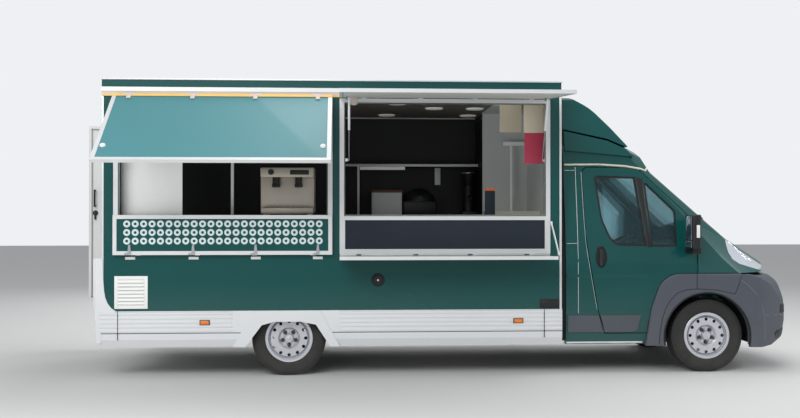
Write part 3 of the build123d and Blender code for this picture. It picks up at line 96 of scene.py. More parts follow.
studio = bpy.data.worlds.new("studio")
bpy.context.scene.world = studio
studio.use_nodes = True
sky = studio.node_tree
sky.nodes.clear()
ray = add_node(sky, "LightPath", {}).outputs
seen = {0: ray["Is Camera Ray"], 1: ray["Is Transmission Ray"]}
seen_or_through_glass = add_node(sky, "Math", seen, operation="MAXIMUM")
ambient = add_node(sky, "Background", {"Color": (0.93, 0.96, 1.0, 1), "Strength": 0.55})
backdrop = add_node(sky, "Background", {"Color": (0.90, 0.92, 0.94, 1), "Strength": 0.95})
sky_shades = {0: seen_or_through_glass.outputs[0], 1: ambient.outputs[0], 2: backdrop.outputs[0]}
sky_mix = add_node(sky, "MixShader", sky_shades)
add_node(sky, "OutputWorld", {0: sky_mix.outputs[0]})
bpy.context.scene.view_settings.view_transform = "Standard"

STUDIO_LAMPS = (  # name, place, aimed at, width, height, power
    ("customer_side", (-5.0, -9.0, 6.5), (-0.8, 0, 1.2), 7.0, 4.0, 560),
    ("into_the_hatches", (-4.4, -6.8, 1.0), (-0.6, -0.6, 2.2), 2.5, 1.2, 60),
    ("overhead", (0.5, 0.5, 7.5), (0, 0, 1.5), 8.0, 4.0, 330),
    ("front", (8.5, -3.5, 4.0), (1.0, 0, 1.2), 4.0, 3.0, 190),
    ("left_side", (-1.0, 9.0, 5.0), (-1.0, 0, 1.2), 7.0, 3.5, 300),
)
for lamp_name, place, aim, wide, high, power in STUDIO_LAMPS:
    lamp_data = bpy.data.lights.new(lamp_name, "AREA")
    lamp_data.shape = "RECTANGLE"
    lamp_data.size = wide
    lamp_data.size_y = high
    lamp_data.energy = power
    lamp = into_scene(lamp_name, lamp_data)
    lamp.location = place
    lamp.rotation_euler = (Vector(aim) - Vector(place)).to_track_quat("-Z", "Y").to_euler()
    lamp.visible_glossy = lamp_name != "into_the_hatches"

# Camera: standing at the customers' side at eye height, a little left of the middle.
FILM_WIDTH = 36.0
LENS = 45.0
FRAME_WIDTH = 800
FRAME_HEIGHT = 418
EYE = (-1.5065, -10.527, 1.520)
TURN_TO_FRONT = radians(3.26)
HORIZON_DOWN = 215 - FRAME_HEIGHT / 2     # the horizon lies this many pixels under the middle
camera_data = bpy.data.cameras.new("customer_view")
camera_data.sensor_width = FILM_WIDTH
camera_data.lens = LENS
camera_data.clip_end = 200
customer_view = into_scene("customer_view", camera_data)
customer_view.location = EYE
tilt_up = atan(HORIZON_DOWN / (FRAME_WIDTH * LENS / FILM_WIDTH))
customer_view.rotation_euler = (pi / 2 + tilt_up, 0, -TURN_TO_FRONT)
bpy.context.scene.camera = customer_view

# Tyres: black rubber, with five rows of tread blocks and raised rings on each side wall.
# Each is turned from one section about the axle, and replaces the plain tyre of the solids.


def tone(red, green, blue):
    """A colour as it looks on a screen, 0 to 255, turned into the linear one that shaders use."""
    return tuple(
        part / 255 / 12.92 if part <= 10 else ((part / 255 + 0.055) / 1.055) ** 2.4
        for part in (red, green, blue)
    )


def handled_surface():
    """Group: unevenness of colour and gloss, and road dust low down, as a used surface has."""
    group = bpy.data.node_groups.new("handled_surface", "ShaderNodeTree")
    sockets = group.interface
    for label, kind, value in (
        ("Colour", "NodeSocketColor", (0.5, 0.5, 0.5, 1)), ("Roughness", "NodeSocketFloat", 0.5),
        ("Unevenness", "NodeSocketFloat", 0.1), ("Size", "NodeSocketFloat", 3.0),
        ("Dust", "NodeSocketFloat", 0.0), ("Dust top", "NodeSocketFloat", 0.6),
    ):
        sockets.new_socket(name=label, in_out="INPUT", socket_type=kind).default_value = value
    sockets.new_socket(name="Colour", in_out="OUTPUT", socket_type="NodeSocketColor")
    sockets.new_socket(name="Roughness", in_out="OUTPUT", socket_type="NodeSocketFloat")
    given = group.nodes.new("NodeGroupInput").outputs
    result = group.nodes.new("NodeGroupOutput")

    def reckoned(operation, *values, clamp=False):
        step = add_node(group, "Math", dict(enumerate(values)), operation=operation, use_clamp=clamp)
        return step.outputs[0]

    where = add_node(group, "TexCoord", {}).outputs["Object"]
    noise = {"Detail": 4, "Vector": where, "Scale": given["Size"]}
    cloud = add_node(group, "TexNoise", noise).outputs["Fac"]
    uneven = reckoned("MULTIPLY", reckoned("SUBTRACT", cloud, 0.5), given["Unevenness"])
    shade = {0: given["Colour"], "Scale": reckoned("MULTIPLY_ADD", uneven, 2.0, 1.0)}
    lit = add_node(group, "VectorMath", shade, operation="SCALE").outputs[0]
    # road dust: thickest at the bottom, gone at its top, and blotchy between
    height = add_node(group, "SeparateXYZ", {0: where}).outputs["Z"]
    thin = reckoned("SUBTRACT", 1.0, reckoned("DIVIDE", height, given["Dust top"]), clamp=True)
    amount = reckoned("MULTIPLY", reckoned("MULTIPLY", thin, cloud), given["Dust"], clamp=True)
    dusting = {"Factor": amount, 6: lit, 7: (*tone(150, 145, 134), 1)}
    dusty = add_node(group, "Mix", dusting, data_type="RGBA").outputs[2]
    rough = reckoned("ADD", given["Roughness"], uneven)
    dull = reckoned("MULTIPLY_ADD", amount, 0.4, rough, clamp=True)
    wire(group, result, {"Colour": dusty, "Roughness": dull})
    return group


HANDLED = handled_surface()


def finish(
    name, colour, roughness, metallic=0.0, coat=0.0, unevenness=0.08, size=3.0, dust=0.0, dust_top=0.6
):
    """A plain opaque finish with the handled_surface group on its colour and roughness."""
    material = plain_material(name, {"Metallic": metallic, "Coat Weight": coat, "Coat Roughness": 0.06})
    tree = material.node_tree
    used = tree.nodes.new("ShaderNodeGroup")
    used.node_tree = HANDLED
    given = {
        "Colour": (*colour, 1), "Roughness": roughness, "Unevenness": unevenness, "Size": size,
        "Dust": dust, "Dust top": dust_top,
    }
    made = wire(tree, used, given).outputs
    shader = tree.nodes["Principled BSDF"]
    wire(tree, shader, {"Base Color": made["Colour"], "Roughness": made["Roughness"]})
    return material


def paint(material, *names):
    """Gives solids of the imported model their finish."""
    for name in names:
        solids[name].data.materials.clear()
        solids[name].data.materials.append(material)


def fitted(name, mesh, body, material, smooth=32.0):
    """A finished piece at the origin like the solids, riding on its body."""
    data = bpy.data.meshes.new(name)
    bmesh.ops.recalc_face_normals(mesh, faces=mesh.faces)
    mesh.to_mesh(data)
    mesh.free()
    data.shade_smooth()
    data.set_sharp_from_angle(angle=radians(smooth))
    data.materials.append(material)
    piece = into_scene(name, data)
    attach(piece, body)
    return piece


TREAD_DEPTH = 0.007
TREAD_PITCHES = 84
TREAD_FLOOR = 0.3418                      # faces farther out than this carry the tread
SMALLEST_BLOCK = 0.0002                   # area of a face that still carries a block
BLOCK_GAP = 0.0018
TYRE_SECTION = (  # distance from the middle plane, radius
    (0.000, 0.207), (0.086, 0.207), (0.0885, 0.223), (0.097, 0.228), (0.104, 0.243), (0.1065, 0.2435),
    (0.1095, 0.262), (0.111, 0.288), (0.1085, 0.310), (0.1105, 0.3105), (0.1085, 0.318), (0.101, 0.333),
    (0.094, 0.3415), (0.072, 0.3430), (0.069, 0.3430), (0.043, 0.3430), (0.040, 0.3430), (0.015, 0.3430),
    (0.012, 0.3430), (0.000, 0.3430),
)
WHEELS = (  # name, body, side
    ("front_left", "wheel_front_left", 1), ("front_right", "wheel_front_right", -1),
    ("rear_left", "wheel_rear_left", 1), ("rear_right", "wheel_rear_right", -1),
)
rubber = finish("tyre_rubber", tone(26, 26, 28), 0.74, unevenness=0.12, size=9.0, dust=0.16, dust_top=0.75)


def wheel_centre(name):
    """The middle of a wheel, from its tyre's box."""
    low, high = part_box(f"tyre_{name}")
    return (low + high) / 2


def about_axle(section, steps):
    """A closed ring, turned from (distance out, radius) points about an axle along Y."""
    ring = bmesh.new()
    points = [ring.verts.new((0, out, radius)) for out, radius in section]
    loop = [ring.edges.new((a, b)) for a, b in zip(points, points[1:] + points[:1])]
    bmesh.ops.spin(
        ring, geom=points + loop, cent=(0, 0, 0), axis=(0, 1, 0), angle=tau, steps=steps, use_merge=True
    )
    bmesh.ops.remove_doubles(ring, verts=ring.verts, dist=1e-5)
    bmesh.ops.recalc_face_normals(ring, faces=ring.faces)
    return ring


def moved(mesh, place):
    """Moves a whole mesh."""
    bmesh.ops.translate(mesh, verts=mesh.verts, vec=place)


def is_tread(face):
    """Whether a face of the tyre carries a tread block."""
    middle = face.calc_center_median()
    return hypot(middle.x, middle.z) > TREAD_FLOOR and face.calc_area() > SMALLEST_BLOCK


for wheel, body, side in WHEELS:
    outline = [*TYRE_SECTION, *((-out, radius) for out, radius in reversed(TYRE_SECTION[1:-1]))]
    tyre = about_axle(outline, TREAD_PITCHES)
    blocks = [face for face in tyre.faces if is_tread(face)]
    bmesh.ops.inset_individual(tyre, faces=blocks, thickness=BLOCK_GAP, depth=TREAD_DEPTH)
    moved(tyre, wheel_centre(wheel))
    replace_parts(fitted(f"treaded_tyre_{wheel}", tyre, body, rubber), f"tyre_{wheel}")

# Wheels: pressed steel rims in silver paint, with a bright flange, hexagonal nuts on five studs in
# a darker grey that is painted shade of their recesses, a small cap with a raised square over the hub and a
# rubber valve through the rim's well.
wheel_silver = finish(
    "wheel_silver", tone(206, 208, 214), 0.32, metallic=0.55, size=6.0, dust=0.2, dust_top=0.8,
)
# The nuts are steel, painted darker than bare steel as shade of the recesses they sit in.
nut_steel_painted_shade = finish("nut_steel_painted_shade", tone(78, 78, 82), 0.46, metallic=0.8, size=20.0)
NUT_CIRCLE = 0.065
NUT_COUNT = 5
HUB_FACE_OUT = 0.060                      # out from the tyre's middle
FLANGE = ((0.0925, 0.2175), (0.0975, 0.2175), (0.0985, 0.2215), (0.0965, 0.2245), (0.0925, 0.2245))


def slab(mesh, corner, opposite, edge=0.0):
    """A box between two opposite corners, with its edges rounded."""
    low = [min(pair) for pair in zip(corner, opposite)]
    high = [max(pair) for pair in zip(corner, opposite)]
    size = [b - a for a, b in zip(low, high)]
    middle = [(a + b) / 2 for a, b in zip(low, high)]
    place = Matrix.Translation(middle) @ Matrix.Diagonal((*size, 1))
    verts = bmesh.ops.create_cube(mesh, size=1.0, matrix=place)["verts"]
    if edge:
        edges = list({item for vert in verts for item in vert.link_edges})
        rounded = bmesh.ops.bevel(
            mesh, geom=edges, offset=edge, segments=2, profile=0.5, affect="EDGES",
            clamp_overlap=True, material=-1,
        )
        kept = {vert for vert in verts if vert.is_valid}
        verts = list({vert for face in rounded["faces"] for vert in face.verts} | kept)
    return verts


def peg(mesh, spot, foot, head, radius, head_radius, segments):
    """A peg along Z at a spot (x, y), between two heights."""
    made = bmesh.ops.create_cone(
        mesh, cap_ends=True, segments=segments, radius1=radius, radius2=head_radius, depth=head - foot,
        matrix=Matrix.Translation((*spot, (foot + head) / 2)),
    )
    return made["verts"]


def turned(mesh, turn, axis, centre=(0, 0, 0), verts=None):
    """Turns a mesh, or some of its points, about an axis through a centre."""
    matrix = Matrix.Rotation(turn, 3, axis)
    bmesh.ops.rotate(mesh, verts=verts or mesh.verts, cent=centre, matrix=matrix)


def on_wheel(mesh, wheel, side, place=None):
    """Sets a piece on its wheel. With a place, it is made along Z and stands out sideways there."""
    if place:
        turned(mesh, -pi / 2, "X")
        moved(mesh, place)
    if side < 0:
        bmesh.ops.scale(mesh, vec=(1, -1, 1), verts=mesh.verts)
    moved(mesh, wheel_centre(wheel))
    return mesh


paint(wheel_silver, *(f"rim_{wheel}" for wheel, body, side in WHEELS))
for wheel, body, side in WHEELS:
    flange = on_wheel(about_axle(FLANGE, 96), wheel, side)
    fitted(f"rim_flange_{wheel}", flange, body, wheel_silver)

    nuts = bmesh.new()
    for number in range(NUT_COUNT):
        turn = tau * number / NUT_COUNT
        spot = (NUT_CIRCLE * sin(turn), NUT_CIRCLE * cos(turn))
        nut = peg(nuts, spot, 0.0, 0.026, 0.0165, 0.0155, 6)
        sides = (face for vert in nut for face in vert.link_faces)
        top = max(sides, key=lambda face: face.calc_center_median().z)
        bmesh.ops.inset_region(nuts, faces=[top], thickness=0.004, depth=0.003)
        peg(nuts, spot, -0.001, 0.003, 0.020, 0.018, 16)
    on_wheel(nuts, wheel, side, (0, HUB_FACE_OUT, 0))
    fitted(f"wheel_nuts_{wheel}", nuts, body, nut_steel_painted_shade)

    cap = bmesh.new()
    peg(cap, (0, 0), 0.018, 0.032, 0.0425, 0.036, 48)
    slab(cap, (-0.015, -0.015, 0.031), (0.015, 0.015, 0.039), 0.003)
    on_wheel(cap, wheel, side, (0, HUB_FACE_OUT, 0))
    fitted(f"hub_cap_{wheel}", cap, body, wheel_silver)

    valve = bmesh.new()
    peg(valve, (0, 0), -0.017, 0.017, 0.005, 0.004, 12)
    on_wheel(valve, wheel, side, (0, 0.052, 0.176))
    fitted(f"valve_{wheel}", valve, body, rubber)

# Running gear: black-painted axle, subframe and chassis rails, raw cast knuckles and engine,
# a moulded fuel tank in two steel straps, and a dull steel exhaust.
chassis_black = finish("chassis_black", tone(34, 35, 37), 0.5, size=5.0, dust=0.9, dust_top=1.1)
cast_metal = finish("cast_metal", tone(96, 95, 93), 0.6, metallic=0.6, size=14.0, dust=0.4, dust_top=1.2)
dull_steel = finish("dull_steel", tone(120, 116, 110), 0.48, metallic=0.8, size=8.0, dust=0.4, dust_top=0.9)
tank_plastic = finish("tank_plastic", tone(38, 39, 41), 0.55, dust=0.7, dust_top=0.8)
paint(chassis_black, "rear_axle", "front_subframe", "chassis_frame")
paint(cast_metal, "knuckle_left", "knuckle_right", "engine_block")
paint(dull_steel, "exhaust")
paint(tank_plastic, "fuel_tank")
SPRING_Y = 0.550
rear_axle_x = wheel_centre("rear_left").x
front_axle_x = wheel_centre("front_left").x
axle_height = wheel_centre("rear_left").z


def bar(mesh, start, end, radius, segments=16, end_radius=None):
    """A round bar between two points, tapered where it has an end radius."""
    start = Vector(start)
    end = Vector(end)
    radii = {"radius1": radius, "radius2": end_radius or radius}
    turn = (end - start).to_track_quat("Z", "Y").to_matrix().to_4x4()
    return bmesh.ops.create_cone(
        mesh, cap_ends=True, segments=segments, **radii, depth=(end - start).length,
        matrix=Matrix.Translation((start + end) / 2) @ turn,
    )["verts"]


def knob(mesh, x, z, foot_y, head_y, radius, segments=16, end_radius=None):
    """A round knob standing out across the vehicle, from one y to another."""
    return bar(mesh, (x, foot_y, z), (x, head_y, z), radius, segments, end_radius)


def block(mesh, middle, size, edge=0.0):
    """A slab given by its middle and its three sizes."""
    corners = ([a + way * b / 2 for a, b in zip(middle, size)] for way in (-1, 1))
    return slab(mesh, *corners, edge)


running = bmesh.new()
for side in (-1, 1):
    spring_y = side * SPRING_Y
    for offset in (-0.052, 0.052):
        bolt_x = rear_axle_x + offset
        for leg_y in (spring_y - 0.036, spring_y + 0.036):
            bar(
                running, (bolt_x, leg_y, axle_height - 0.055), (bolt_x, leg_y, axle_height + 0.085),
                0.007, 10,
            )
        block(running, (bolt_x, spring_y, axle_height + 0.0615), (0.016, 0.086, 0.013), 0.002)
    block(running, (rear_axle_x, spring_y, axle_height - 0.049), (0.150, 0.100, 0.012), 0.003)
    damper_foot = (rear_axle_x - 0.05, side * 0.44, axle_height)
    bar(running, damper_foot, (rear_axle_x - 0.30, side * 0.47, 0.555), 0.026, 20)
    bar(running, damper_foot, (rear_axle_x - 0.17, side * 0.455, 0.450), 0.033, 20)
fitted("axle_clamps_and_dampers", running, "root", chassis_black)

coils = bmesh.new()
COIL_TURNS = 5
COIL_STEPS = COIL_TURNS * 20
for side in (-1, 1):
    foot = Vector((front_axle_x, side * 0.712, 0.728))
    head = Vector((front_axle_x, side * 0.672, 0.876))
    wire_end = bmesh.ops.create_circle(
        coils, segments=8, radius=0.006, cap_ends=False,
        matrix=Matrix.Translation(foot + Vector((0.050, 0, 0))) @ Matrix.Rotation(pi / 2, 4, "X"),
    )["verts"]
    bmesh.ops.spin(
        coils, geom=list({edge for vert in wire_end for edge in vert.link_edges}) + wire_end, cent=foot,
        axis=(head - foot).normalized(), dvec=(head - foot) / COIL_STEPS, angle=tau * COIL_TURNS,
        steps=COIL_STEPS, use_merge=False,
    )
    bmesh.ops.holes_fill(coils, edges=[edge for edge in coils.edges if edge.is_boundary], sides=8)
fitted("front_coil_springs", coils, "root", chassis_black)

straps = bmesh.new()
tank_low, tank_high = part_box("fuel_tank")
STRAP = 0.003
for strap_x in (-0.60, -0.10):
    rear_x = strap_x - 0.02
    front_x = strap_x + 0.02
    slab(
        straps, (rear_x, tank_low.y - STRAP, tank_low.z - STRAP),
        (front_x, tank_high.y + STRAP, tank_low.z + 0.001), 0.001,
    )
    for side_y in (tank_low.y - STRAP, tank_high.y - 0.001):
        slab(straps, (rear_x, side_y, tank_low.z), (front_x, side_y + 0.004, tank_high.z), 0.001)
fitted("tank_straps", straps, "root", dull_steel)

# Kitchen body: sandwich panels in dark green gloss paint, joined at the corners by pale
# anodised profiles, with a pale capping round the roof's edge.
GLOSS_PAINT = {"unevenness": 0.05, "size": 1.4, "dust": 0.12, "dust_top": 0.9}
coach_green = finish("coach_green", tone(8, 72, 70), 0.26, coat=0.45, **GLOSS_PAINT)
coach_green.node_tree.nodes["Principled BSDF"].inputs["Specular IOR Level"].default_value = 0.2
anodised = finish("anodised_profile", tone(214, 216, 216), 0.40, metallic=0.25, unevenness=0.05, size=6.0)
black_rubber = finish("black_rubber", tone(24, 24, 25), 0.7)
floor_vinyl = finish("floor_vinyl", tone(92, 92, 94), 0.7, unevenness=0.15, size=30.0)
paint(coach_green, "box_roof", "box_wall_right", "box_wall_left", "box_wall_front", "box_wall_rear")
paint(floor_vinyl, "box_floor")
paint(anodised, "roof_profiles")
roof_low, roof_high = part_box("box_roof")
BODY_REAR = roof_low.x
BODY_FRONT = roof_high.x
BODY_SIDE = roof_high.y
ROOF_TOP = roof_high.z
WALL_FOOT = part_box("box_wall_right")[0].z
CORNER_WIDTH = 0.022
PROUD = 0.003
corners = bmesh.new()
for end_x, inward in ((BODY_REAR, 1), (BODY_FRONT, -1)):
    out_x = end_x - inward * PROUD
    in_x = out_x + inward * CORNER_WIDTH
    for side in (-1, 1):
        out_y = side * (BODY_SIDE + PROUD)
        in_y = side * (BODY_SIDE - CORNER_WIDTH)
        slab(corners, (out_x, side * BODY_SIDE, WALL_FOOT), (in_x, out_y, ROOF_TOP - 0.08), 0.001)
        slab(corners, (out_x, in_y, WALL_FOOT), (end_x, out_y, ROOF_TOP), 0.001)
fitted("corner_profiles", corners, "root", anodised)

capping = bmesh.new()
CAP_FOOT = ROOF_TOP - 0.012
CAP_TOP = ROOF_TOP + 0.002
for cap_y in (-BODY_SIDE, BODY_SIDE):
    slab(
        capping, (BODY_REAR - PROUD, cap_y - 0.012, CAP_FOOT),
        (BODY_FRONT + PROUD, cap_y + 0.012, CAP_TOP), 0.002,
    )
for end_x in (BODY_REAR, BODY_FRONT):
    slab(capping, (end_x - 0.010, -BODY_SIDE, CAP_FOOT), (end_x + 0.010, BODY_SIDE, CAP_TOP), 0.002)
fitted("roof_capping", capping, "root", anodised)

# Side wall fittings: a pale louvred vent with a broad frame, a small round black drain vent and
# a black service hatch at the front edge.
pale_plastic = finish("pale_plastic", tone(226, 227, 224), 0.45, unevenness=0.04)
VENT = ((-3.630, -3.323), (0.646, 0.951))
VENT_FRAME = 0.034
LOUVRES = 7
wall_face = -BODY_SIDE
vent = bmesh.new()
(vent_rear, vent_front), (vent_foot, vent_top) = VENT
opening_rear = vent_rear + VENT_FRAME
opening_front = vent_front - VENT_FRAME
slab(vent, (vent_rear, wall_face - 0.004, vent_foot), (vent_front, wall_face, vent_top), 0.0015)
for low_x, high_x, low_z, high_z in (
    (opening_rear, opening_front, vent_foot, vent_foot + VENT_FRAME),
    (opening_rear, opening_front, vent_top - VENT_FRAME, vent_top),
    (vent_rear, opening_rear, vent_foot, vent_top),
    (opening_front, vent_front, vent_foot, vent_top),
):
    slab(vent, (low_x, wall_face - 0.012, low_z), (high_x, wall_face, high_z), 0.003)
louvre_pitch = (vent_top - vent_foot - 2 * VENT_FRAME) / LOUVRES
louvre_y = wall_face - 0.012
for number in range(LOUVRES):
    z = vent_foot + VENT_FRAME + louvre_pitch * (number + 0.5)
    louvre = slab(
        vent, (opening_rear, louvre_y - 0.002, z - 0.012), (opening_front, louvre_y + 0.002, z + 0.012),
    )
    turned(vent, radians(-30), "X", (0, louvre_y, z), louvre)
fitted("fridge_vent", vent, "root", pale_plastic)

ROUND_VENT = (-1.177, 0.906)
black_plastic = finish("black_plastic", tone(16, 17, 19), 0.5)
wall_fittings = bmesh.new()
knob(wall_fittings, *ROUND_VENT, wall_face, wall_face - 0.010, 0.062, 40, 0.056)
knob(wall_fittings, *ROUND_VENT, wall_face - 0.009, wall_face - 0.016, 0.046, 32, 0.040)
SERVICE_HATCH = ((0.369, 0.552), (0.632, 0.719))
HATCH_RIM = 0.012
(rear_x, front_x), (foot, head) = SERVICE_HATCH
slab(wall_fittings, (rear_x, wall_face - 0.008, foot), (front_x, wall_face, head), 0.004)
slab(
    wall_fittings, (rear_x + HATCH_RIM, wall_face - 0.014, foot + HATCH_RIM),
    (front_x - HATCH_RIM, wall_face - 0.006, head - HATCH_RIM), 0.003,
)
fitted("wall_fittings", wall_fittings, "root", black_plastic)
vent_centre = bmesh.new()
knob(vent_centre, *ROUND_VENT, wall_face - 0.012, wall_face - 0.019, 0.009, 16)
fitted("round_vent_centre", vent_centre, "root", pale_plastic)

# Yellow rain strip over the rear hatch, tucked under the pale roof profile, with a pale backing.
strip_yellow = finish("strip_yellow", tone(232, 190, 110), 0.5, unevenness=0.12, size=5.0)
strip_backing = finish("strip_backing", tone(206, 192, 182), 0.6, unevenness=0.08, size=5.0)
STRIP = ((-3.746, -1.535), (2.630, 2.648))
(strip_rear, strip_front), (strip_foot, strip_head) = STRIP
strip = bmesh.new()
slab(strip, (strip_rear, wall_face - 0.013, strip_foot), (strip_front, wall_face, strip_head), 0.003)
fitted("rain_strip", strip, "root", strip_yellow)
backing = bmesh.new()
slab(backing, (strip_rear, wall_face - 0.008, strip_head), (strip_front, wall_face, ROOF_TOP - 0.120), 0.002)
fitted("rain_strip_backing", backing, "root", strip_backing)

# Skirts: light grey ribbed panels under the walls, in three lengths with dark joints, a frame of
# smooth panel round the rear wheel and an amber side lamp on each long panel.
skirt_grey = finish(
    "skirt_grey", tone(212, 214, 216), 0.42, unevenness=0.05, size=2.0, dust=0.3, dust_top=0.6,
)
paint(skirt_grey, "box_skirts")
SKIRT_FACE = BODY_SIDE + 0.006
SKIRT_TOP = 0.623
SKIRT_GROOVE = 0.415
ARCH_SPAN = (rear_axle_x - 0.330, rear_axle_x + 0.312)
SKIRT_ENDS = (BODY_REAR - 0.023, BODY_FRONT + 0.005)
SKIRT_RIBS = (0.600, 0.560, 0.520, 0.480, 0.440)
ribs = bmesh.new()
for side in (-1, 1):
    face = side * SKIRT_FACE
    for start, end in ((SKIRT_ENDS[0], ARCH_SPAN[0] - 0.19), (ARCH_SPAN[1] + 0.17, SKIRT_ENDS[1])):
        for rib_z in SKIRT_RIBS:
            slab(ribs, (start, face, rib_z - 0.012), (end, face + side * 0.004, rib_z + 0.012), 0.0018)
        slab(ribs, (start, face, SKIRT_TOP - 0.008), (end, face + side * 0.005, SKIRT_TOP), 0.001)
fitted("skirt_ribs", ribs, "root", skirt_grey)


def plate_of(mesh, outline, low, high, along_x=False):
    """A flat plate between two values of y, outlined by (x, z), or of x, outlined by (y, z)."""
    ends = [
        [mesh.verts.new((end, place, z) if along_x else (place, end, z)) for place, z in outline]
        for end in (low, high)
    ]
    for number in range(len(outline)):
        mesh.faces.new((ends[0][number - 1], ends[0][number], ends[1][number], ends[1][number - 1]))
    mesh.faces.new(ends[0])
    mesh.faces.new(reversed(ends[1]))


# The moulded rear corners run up the walls with a rounded inner edge and shroud the tail lamps.
CORNER_EDGE = (
    (-3.737, 1.108), (-3.733, 0.950), (-3.724, 0.818), (-3.712, 0.750), (-3.690, 0.696),
    (-3.660, 0.655), (-3.618, 0.626),
)
ARCH_FRAME = (
    (-2.496, 0.346), (-2.450, 0.430), (-2.345, 0.600), (-2.335, 0.611), (-1.738, 0.611),
    (-1.728, 0.600), (-1.580, 0.340),
)
mouldings = bmesh.new()
frame_lines = bmesh.new()
for side in (-1, 1):
    outline = [*CORNER_EDGE, (-3.618, 0.600), (BODY_REAR - 0.001, 0.600), (BODY_REAR - 0.001, 1.108)]
    plate_of(mouldings, outline, side * (BODY_SIDE - 0.002), side * (BODY_SIDE + 0.0125))
    slab(
        mouldings, (BODY_REAR - 0.073, side * 1.075, 0.660), (BODY_REAR - 0.055, side * 1.092, 1.110), 0.004
    )
    for before, after in zip(ARCH_FRAME, ARCH_FRAME[1:]):
        ends = [Vector((x, side * (SKIRT_FACE + 0.0005), z)) for x, z in (before, after)]
        bar(frame_lines, ends[0], ends[1], 0.0055, 8)
fitted("rear_corner_mouldings", mouldings, "root", skirt_grey)
fitted("arch_frame_lines", frame_lines, "root", skirt_grey, smooth=50)

joints = bmesh.new()
for side in (-1, 1):
    face = side * SKIRT_FACE
    for joint_x in (-3.599, 0.408):
        slab(
            joints, (joint_x - 0.003, face, SKIRT_GROOVE - 0.06),
            (joint_x + 0.003, face + side * 0.0055, SKIRT_TOP),
        )
    for start, end in ((SKIRT_ENDS[0], ARCH_SPAN[0] - 0.10), (ARCH_SPAN[1] + 0.09, SKIRT_ENDS[1])):
        slab(
            joints, (start, face - side * 0.007, SKIRT_GROOVE - 0.004),
            (end, face - side * 0.004, SKIRT_GROOVE + 0.004),
        )
fitted("skirt_joints", joints, "root", black_rubber)

amber = finish("amber_lens", tone(222, 120, 30), 0.25, coat=0.5)
AMBER_LAMPS = ((-2.796, 0.514), (0.158, 0.515))
lenses = bmesh.new()
bases = bmesh.new()
for side in (-1, 1):
    face = side * SKIRT_FACE
    for lamp_x, lamp_z in AMBER_LAMPS:
        for mesh, length, height, out, edge in (
            (bases, 0.096, 0.048, 0.008, 0.003), (lenses, 0.080, 0.036, 0.018, 0.005)
        ):
            block(mesh, (lamp_x, face + side * out / 2, lamp_z), (length, out, height), edge)
fitted("side_lamp_bases", bases, "root", black_plastic)
fitted("side_lamp_lenses", lenses, "root", amber)

# Tail lamps: a red shell with an amber lens and a clear one below it.
red_lens = finish("red_lens", tone(170, 20, 22), 0.2, coat=0.8)
clear_lens = finish("clear_lens", tone(214, 218, 224), 0.15, coat=0.8)
paint(red_lens, "tail_lamps")
lamp_low, lamp_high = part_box("tail_lamps")
for lens_name, lens_finish, low_z, high_z in (
    ("turn", amber, 0.80, 0.89), ("reverse", clear_lens, 0.71, 0.795),
):
    lens = bmesh.new()
    for side in (-1, 1):
        slab(
            lens, (lamp_low.x - 0.002, side * lamp_high.y, low_z),
            (lamp_low.x + 0.004, side * (lamp_high.y - 0.050), high_z), 0.002,
        )
    fitted(f"tail_{lens_name}_lens", lens, "root", lens_finish)

# Hatch frames: pale anodised profiles round both openings, with a rubber seal inside each, and
# hinge leaves over the upper flaps and under the lower ones.
paint(anodised, "hatch_frames")
FRAME_Y = -1.095
HINGE_Y = -1.098
UPPER_HINGE_Z = 2.624
LOWER_HINGE_Z = 1.146
SILL_Z = 1.520
HATCH_FOOT = 1.150
HATCH_HEAD = 2.620
FLAP_FACE = -1.129
FLAP_BACK = -1.101
HINGE_SHARES = (0.075, 0.364, 0.649, 0.935)
HATCHES = (  # name, rear edge, front edge, upper flap's opening, lower flap's opening (degrees)
    ("rear", -3.636, -1.610, 53.0, 0.0), ("front", -1.535, 0.461, 85.7, 90.0),
)


def border(mesh, x, z, width, y):
    """A flat mitred frame between two values each of x, z and y."""
    verts = slab(mesh, (x[0], y[0], z[0]), (x[1], y[1], z[1]))
    faces = {face for vert in verts for face in vert.link_faces}
    ends = [face for face in faces if abs(face.normal.y) > 0.9]
    bmesh.ops.inset_individual(mesh, faces=ends, thickness=width, depth=0)
    loops = [edge for face in ends for edge in face.edges]
    bmesh.ops.delete(mesh, geom=ends, context="FACES_ONLY")
    bmesh.ops.bridge_loops(mesh, edges=loops)
    return verts + [vert for edge in loops for vert in edge.verts]


def swung(mesh, height, degrees):
    """Turns a flap's detail from its closed place about the hinge line at a height."""
    turned(mesh, -radians(degrees), "X", (0, HINGE_Y, height))


def hinge_places(rear_x, front_x):
    """Where the hinges stand along a hatch."""
    return [rear_x + (front_x - rear_x) * share for share in HINGE_SHARES]


def edging_of(hatch, foot, head, layers):
    """The mitred edging of a hatch's flap, layer by layer."""
    rear_x, front_x = hatch
    edging = bmesh.new()
    for reach, low_z, high_z, width, near_y, far_y in layers:
        border(
            edging, (rear_x - reach, front_x + reach), (foot + low_z, head + high_z), width,
            (near_y, far_y),
        )
    return edging


seals = bmesh.new()
leaves = bmesh.new()
for name, rear_x, front_x, opened, lowered in HATCHES:
    seal_x = (rear_x + 0.040, front_x - 0.040)
    border(seals, seal_x, (SILL_Z - 0.010, HATCH_HEAD - 0.040), 0.010, (FRAME_Y - 0.003, FRAME_Y + 0.004))
    lip_x = (rear_x - 0.004, front_x + 0.004)
    lip_z = (HATCH_FOOT + 0.002, HATCH_HEAD - 0.002)
    border(leaves, lip_x, lip_z, 0.012, (FRAME_Y - 0.002, FRAME_Y + 0.010))
    for x in hinge_places(rear_x, front_x):
        slab(leaves, (x - 0.005, -1.088, HATCH_HEAD + 0.012), (x + 0.095, -1.080, HATCH_HEAD + 0.034), 0.002)
        slab(leaves, (x - 0.048, -1.090, HATCH_FOOT - 0.046), (x + 0.045, -1.080, HATCH_FOOT - 0.020), 0.003)
shelf_rear, shelf_front = HATCHES[1][1:3]
slab(leaves, (shelf_rear, -1.092, HATCH_FOOT - 0.032), (shelf_front, wall_face + 0.001, HATCH_FOOT), 0.001)
